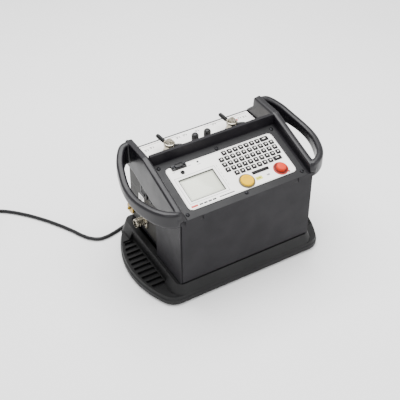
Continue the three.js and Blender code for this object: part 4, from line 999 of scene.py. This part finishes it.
for name in ("c1", "c2"):
    low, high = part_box(f"{name}_insulator")
    stand = shift((low.x + high.x) / 2 / MM, TERMINAL_Y, 0)
    washer = turned([(5.4, 218.7), (14.9, 218.7), (14.9, 220.6), (14.2, 221.2), (12.8, 221.4), (12.4, 222.5),
                     (5.4, 222.5), (5.4, 218.7)], 56)
    piece(f"{name}_washer", [washer], black_plastic,
          replaces=[f"{name}_insulator"], place=stand)
    stud = turned([(0, 195.2), (4.9, 195.2), (4.9, 222.9), (6.9, 222.9)] + threads(6.9, 223.5, 248.2)
                  + [(6.2, 248.6), (5.2, 249.9), (0, 249.9)], 40)
    piece(f"{name}_threaded_stud", [stud], nickel, replaces=[f"{name}_stud"], place=stand)
    hub = turned([(7.4, 223.0), (11.4, 223.0), (12.4, 223.8), (12.4, 227.4), (11.4, 228.6), (10.8, 233.0),
                  (11.6, 236.5), (11.8, 240.5), (10.6, 243.2), (9.0, 243.8), (7.4, 243.0), (7.4, 223.0)], 24)
    metal_parts, grips = [hub], []
    for half_turn in (0, math.pi):
        lean = (Matrix.Rotation(WING_TURN + half_turn, 4, "Z") @ shift(9, 0, 239.2)
                @ Matrix.Rotation(math.pi / 2 - WING_RISE, 4, "Y"))
        neck = turned([(0, -1.0), (4.4, -1.0), (4.0, 1.5), (3.3, 4.5), (3.2, 8), (0, 8)], 24)
        cut_bore = turned([(0, 215), (7.4, 215), (7.4, 258), (0, 258)], 40)
        metal_parts.append(carved(placed(neck, lean), cut_bore))
        grips.append(placed(wing_grip(), lean))
    piece(f"{name}_wing_nut", metal_parts, nickel, f"{name}_lever", place=stand)
    piece(f"{name}_wing_grips", grips, black_plastic, f"{name}_lever",
          [f"{name}_lever"], stand)

# %% [markdown]
# The two potential terminals are slim nickel posts with black fluted caps, as on a binding post. The
# flutes come from a scalloped outline, which is raised and then bored. A turned crown closes the top.

# %% Potential terminals
FLUTES = 14


def fluted(radius, depth, low, high, edge):
    """A cap with scalloped sides."""
    outline = []
    for i in range(FLUTES * 4):
        angle = math.tau * i / (FLUTES * 4)
        reach = radius - depth * (1 - math.cos(angle * FLUTES)) / 2
        outline.append((reach * math.cos(angle), reach * math.sin(angle)))
    return slab(outline, low, high, edge=edge, foot=0.4)


for name in ("p1", "p2"):
    low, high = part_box(f"{name}_post")
    stand = shift((low.x + high.x) / 2 / MM, TERMINAL_Y, 0)
    post = turned([(0, 201.2), (2.9, 201.2), (2.9, 218.7), (6.4, 218.7), (6.4, 219.9), (5.6, 220.5),
                   (2.9, 220.5)] + threads(2.9, 221, 238.6, 1.5, 0.4) + [(2.4, 239.4), (0, 239.9)], 32)
    piece(f"{name}_threaded_post", [post], nickel, replaces=[f"{name}_post"], place=stand)
    bore = turned([(0, 218), (3.4, 218), (3.4, 241), (0, 241)], 24)
    crown = turned([(0, 240.8), (6.0, 240.8), (5.8, 242.8), (4.6, 244.0), (2.6, 244.5), (0, 244.5)], 40)
    cap = carved(fluted(7.15, 0.7, 221.0, 241.4, 0.8), bore)
    piece(f"{name}_fluted_cap", [cap, crown], black_plastic, f"{name}_cap",
          [f"{name}_cap"], stand)

# %% [markdown]
# The left side is recessed, so that its fittings don't stand out past the case: a mains switch, a fuse,
# an earth terminal and a round connector for a remote lead. They are built with their backs on the
# niche's wall and turned to face left, with local x upwards. The plate is a softened copy.

# %% Side panel's plate
SIDE_X = -137.0
FACE = 2.3  # the plate's outer face, out from the niche's wall
FACING_LEFT = Matrix.Rotation(-math.pi / 2, 4, "Y")


def on_side(y, z):
    """A place on the niche's wall, with local x up and local z out to the left."""
    return shift(SIDE_X, y, z) @ FACING_LEFT


# the plate's paint colour carries a painted shade for the niche's shadow
from_cad("side_panel_plate", "side_panel_sheet", side_paint_darkened_for_shade, 0.5)

# %% [markdown]
# The plate carries a white label with a few dark bars in place of its print, two more printed lines,
# and four nickel screws with a plain slot. Each screw has stopped at another angle.

# %% Side label, print and screws
LABEL_RISE = 0.3
SIDE_PRINT_AT = on_side(66, 167)
side_label = block((-52, -26), (-20, 3), (FACE - INK_SUNK, FACE + LABEL_RISE), 2, 0.1)
piece("side_label_film", [side_label], white_film, place=SIDE_PRINT_AT)
side_marks = [ink((-48 + i * 4.2, -46.5 + i * 4.2), (-16 + (i % 2) * 3, -1), 0.2, FACE + LABEL_RISE)
              for i in range(5)]
side_marks += [ink((-20, -18.6), (10, 34), 0.2, FACE), ink((-3, 3), (-27, -25.5), 0.2, FACE)]
piece("side_print_black", side_marks, print_black, place=SIDE_PRINT_AT)
for number, (y, z) in enumerate(((-10, 186), (99, 186), (-10, 64), (99, 64)), start=1):
    head = turned([(0, 1), (3.0, 1), (3.0, FACE + 0.9), (2.6, FACE + 1.5), (0, FACE + 1.9)], 28)
    slot_cut = block((-0.4, 0.4), (-4, 4), (FACE + 1.0, FACE + 4))
    piece(f"side_screw_{number}", [carved(head, slot_cut)], nickel,
          place=on_side(y, z) @ Matrix.Rotation(0.6 * number, 4, "Z"))

# %% [markdown]
# The mains switch is a black rocker in a snap-in frame. A rocker's face is a shallow dish, which a wide
# turned cutter takes out of a block. It rests tilted to one side.

# %% Mains switch
low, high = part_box("mains_switch_frame")
switch_place = on_side((low.y + high.y) / 2 / MM, (low.z + high.z) / 2 / MM)
bezel = carved(block((-16.8, 16.8), (-12.8, 12.8), (FACE + 0.4, FACE + 3.6), 2.0, 1.0),
               block((-12.2, 12.2), (-8.1, 8.1), (-5, 12), 0.6))
barrel = carved(block((-14.8, 14.8), (-10.8, 10.8), (-15.6, FACE + 0.6), 0.6),
                block((-12.2, 12.2), (-8.1, 8.1), (-11.5, 12), 0.6))
piece("mains_switch_bezel", [bezel, barrel], black_plastic,
      replaces=["mains_switch_frame"], place=switch_place)
ROCKER_TILT = math.radians(8)
DISH_RADIUS = 24
DISH_AXIS = 29.4  # height of the dish's axis
rocker_dish = placed(turned([(0, -12), (DISH_RADIUS, -12), (DISH_RADIUS, 12), (0, 12)], 96),
                     shift(0, 0, DISH_AXIS) @ Matrix.Rotation(math.pi / 2, 4, "X"))
rocker = carved(block((-10.4, 10.4), (-7.4, 7.4), (-3.8, 6.9), 0.8, 0.5), rocker_dish)
rocker_turn = switch_place @ Matrix.Rotation(ROCKER_TILT, 4, "Y")
piece("mains_rocker_cap", [rocker], black_plastic, "mains_rocker",
      ["mains_switch_rocker"], rocker_turn)

# %% [markdown]
# The fuse sits in a hexagonal holder, under a fluted knob with a slot across its face for a coin.

# %% Fuse
low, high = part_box("fuse_holder")
fuse_place = on_side((low.y + high.y) / 2 / MM, (low.z + high.z) / 2 / MM)
holder = turned([(6.6, -13.8), (8.2, -13.8), (8.2, FACE + 0.2), (8.5, FACE + 0.5), (8.5, FACE + 2.6),
                 (7.9, FACE + 3.9), (6.6, FACE + 4.1), (6.6, -13.8)], 6)
back_wall = turned([(0, -13.8), (7.0, -13.8), (7.0, -10.4), (0, -10.4)], 32)
piece("fuse_carrier", [holder, back_wall], black_plastic,
      replaces=["fuse_holder"], place=fuse_place)
fuse_knob = fluted(6.1, 0.5, -3.8, FACE + 11.6, 0.8)
fuse_slot = block((-1.0, 1.0), (-5.4, 5.4), (FACE + 10.4, FACE + 16), 0.4)
piece("fuse_knob", [carved(fuse_knob, fuse_slot)], black_plastic, "fuse_cap",
      ["fuse_cap"], fuse_place)

# %% [markdown]
# The earth terminal is a brass bolt with a knurled thumb nut. Real knurling is too fine to see here, so
# it is drawn as coarse teeth round a waist.

# %% Earth terminal
KNURLS = 28
low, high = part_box("earth_knob")
earth_place = on_side((low.y + high.y) / 2 / MM, (low.z + high.z) / 2 / MM)
earth_bolt = turned([(0, -13.8), (2.9, -13.8), (2.9, FACE + 0.4), (6.8, FACE + 0.4), (6.8, FACE + 2.6),
                     (6.2, FACE + 3.2), (2.9, FACE + 3.3)] + threads(2.9, FACE + 4, FACE + 20, 1.5, 0.4)
                    + [(2.4, FACE + 21), (0, FACE + 21.8)], 32)
piece("earth_bolt", [earth_bolt], brass, replaces=["earth_stud"], place=earth_place)
nut = [turned([(3.4, FACE + 5.4), (11.4, FACE + 5.4), (12.7, FACE + 6.3), (12.7, FACE + 6.9),
               (11.5, FACE + 7.4), (11.5, FACE + 13.6), (12.7, FACE + 14.1), (12.7, FACE + 15.1),
               (11.2, FACE + 16.2), (3.4, FACE + 16.2), (3.4, FACE + 5.4)], 48)]
for i in range(KNURLS):
    tooth = block((11.0, 12.8), (-0.55, 0.55), (FACE + 7.0, FACE + 14.4), 0.2)
    nut.append(placed(tooth, Matrix.Rotation(math.tau * i / KNURLS, 4, "Z")))
piece("earth_thumb_nut", nut, brass, "earth_knob", ["earth_knob"], earth_place)

# %% [markdown]
# The remote connector has a square flange with four screws, a grooved nickel barrel, and seven pins in
# a black insert that lies a little below the rim.

# %% Remote connector
FLANGE_SCREW = 9.9  # from the middle to each screw, both ways
PIN_CIRCLE = 4.3
low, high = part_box("remote_connector")
remote_place = on_side((low.y + high.y) / 2 / MM, (low.z + high.z) / 2 / MM)
flange = block((-13.4, 13.4), (-13.4, 13.4), (FACE + 0.35, FACE + 2.6), 2.5, 0.4)
barrel_profile = [(7.6, -11.8), (9.2, -11.8), (9.2, FACE + 2)]
for i in range(4):
    barrel_profile += [(9.4, FACE + 4 + i * 4), (9.4, FACE + 6.4 + i * 4), (8.9, FACE + 6.8 + i * 4),
                       (8.9, FACE + 7.6 + i * 4)]
barrel_profile += [(9.3, FACE + 21), (8.8, FACE + 22.1), (7.6, FACE + 22.1), (7.6, -11.8)]
shell_parts = [flange, turned(barrel_profile, 48)]
for x in (-FLANGE_SCREW, FLANGE_SCREW):
    for y in (-FLANGE_SCREW, FLANGE_SCREW):
        screw_head = turned([(0, FACE + 2), (1.9, FACE + 2), (1.9, FACE + 3.2), (1.2, FACE + 3.9),
                             (0, FACE + 4)], 20)
        shell_parts.append(placed(screw_head, shift(x, y, 0)))
for i in range(7):
    angle = math.tau * i / 6
    reach = PIN_CIRCLE if i < 6 else 0
    pin = turned([(0, FACE + 17), (0.8, FACE + 17), (0.8, FACE + 20.6), (0.4, FACE + 21.2),
                  (0, FACE + 21.3)], 16)
    shell_parts.append(placed(pin, shift(reach * math.cos(angle), reach * math.sin(angle), 0)))
insert = turned([(0, -11.8), (7.7, -11.8), (7.7, FACE + 17.5), (0, FACE + 17.5)], 40)
piece("remote_connector_shell", [(part, 0) for part in shell_parts] + [(insert, 1)],
      [nickel, black_plastic], replaces=["remote_connector"],
      place=remote_place)

# %% [markdown]
# The inlet at the rear is a moulded frame round the lead's connector, and a box behind it. Both are
# blocks with a hole in them.

# %% Mains inlet
low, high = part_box("mains_inlet")
inlet_place = shift((low.x + high.x) / 2 / MM, 0, (low.z + high.z) / 2 / MM) @ ALONG_LEAD
inlet_frame = carved(block((-15, 15), (-12, 12), (110.4, 115.2), 3, 1.2),
                     block((-11, 11), (-8, 8), (100, 120), 1.5))
inlet_box = carved(block((-12.9, 12.9), (-9.9, 9.9), (92.2, 111), 1.0),
                   block((-11, 11), (-8, 8), (95.2, 120), 1.0))
piece("mains_inlet_frame", [inlet_frame, inlet_box], black_plastic,
      replaces=["mains_inlet"], place=inlet_place)

# %% [markdown]
# What is inside the case is seen at most through the vents. Those CAD solids stay as they are, and only
# get the finish of what they stand for.

# %% Parts inside the case
INSIDE_FINISHES = {
    "power_transformer": iron_material, "power_board": board_material,
    "control_board": board_material, "lcd_module": board_material,
    "heat_sink": extruded_aluminium, "fan_frame": black_plastic, "fan_rotor": black_plastic,
    "bus_bar_c1": copper, "bus_bar_c2": copper,
}
for node, finish in INSIDE_FINISHES.items():
    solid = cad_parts[node]
    if not solid.material_slots:
        solid.data.materials.append(finish)
    for material_slot in solid.material_slots:
        material_slot.material = finish
print(len(INSIDE_FINISHES), "CAD solids finished inside the case")

# %% [markdown]
# Light comes from large soft boxes, as in a studio: a strong one above, and weak ones from the front
# left and the front right, under a white sky that fills the shadows.

# %% Lights
def soft_box(name, place, aim, size, power):
    """A square area light, in metres, turned towards a point."""
    data = bpy.data.lights.new(name, "AREA")
    data.shape = "SQUARE"
    data.size = size
    data.energy = power
    light = bpy.data.objects.new(name, data)
    light.location = place
    light.rotation_euler = (Vector(place) - Vector(aim)).to_track_quat("Z", "Y").to_euler()
    bpy.context.scene.collection.objects.link(light)
    return light


soft_box("overhead_box", (0.0, 0.3, 1.7), (0, 0, 0.1), 1.6, 64)
soft_box("left_box", (-0.9, -1.6, 1.3), (0, 0, 0.15), 1.0, 9)
soft_box("right_box", (1.3, -1.2, 0.8), (0, 0, 0.12), 0.9, 10)
world = bpy.data.worlds.new("studio")
world.use_nodes = True
world.node_tree.nodes["Background"].inputs["Color"].default_value = (1, 1, 1, 1)
world.node_tree.nodes["Background"].inputs["Strength"].default_value = 1.15
bpy.context.scene.world = world

# %% [markdown]
# The object stands on a wide sheet of white paper. It is one flat plane, in two whites that are almost
# the same, and it is part of the stage and not of the object.

# %% Floor
floor_material, floor_tree, floor_shader, floor_place = start_material("white_paper_sweep")
floor_tone = two_tones(floor_tree, blotches(floor_tree, floor_place, 400, 0.0, 1.0),
                       linear("#f7f7f7"), linear("#f4f4f4"))
floor_tree.links.new(floor_tone, floor_shader.inputs["Base Color"])
floor_shader.inputs["Roughness"].default_value = 0.9
sweep = bmesh.new()
bmesh.ops.create_grid(sweep, x_segments=1, y_segments=1, size=6)
floor = bpy.data.objects.new("floor", into_mesh(sweep, "floor"))
floor.data.materials.append(floor_material)
bpy.context.scene.collection.objects.link(floor)
print("the floor is", 2 * max(vertex.co.x for vertex in floor.data.vertices), "m wide")
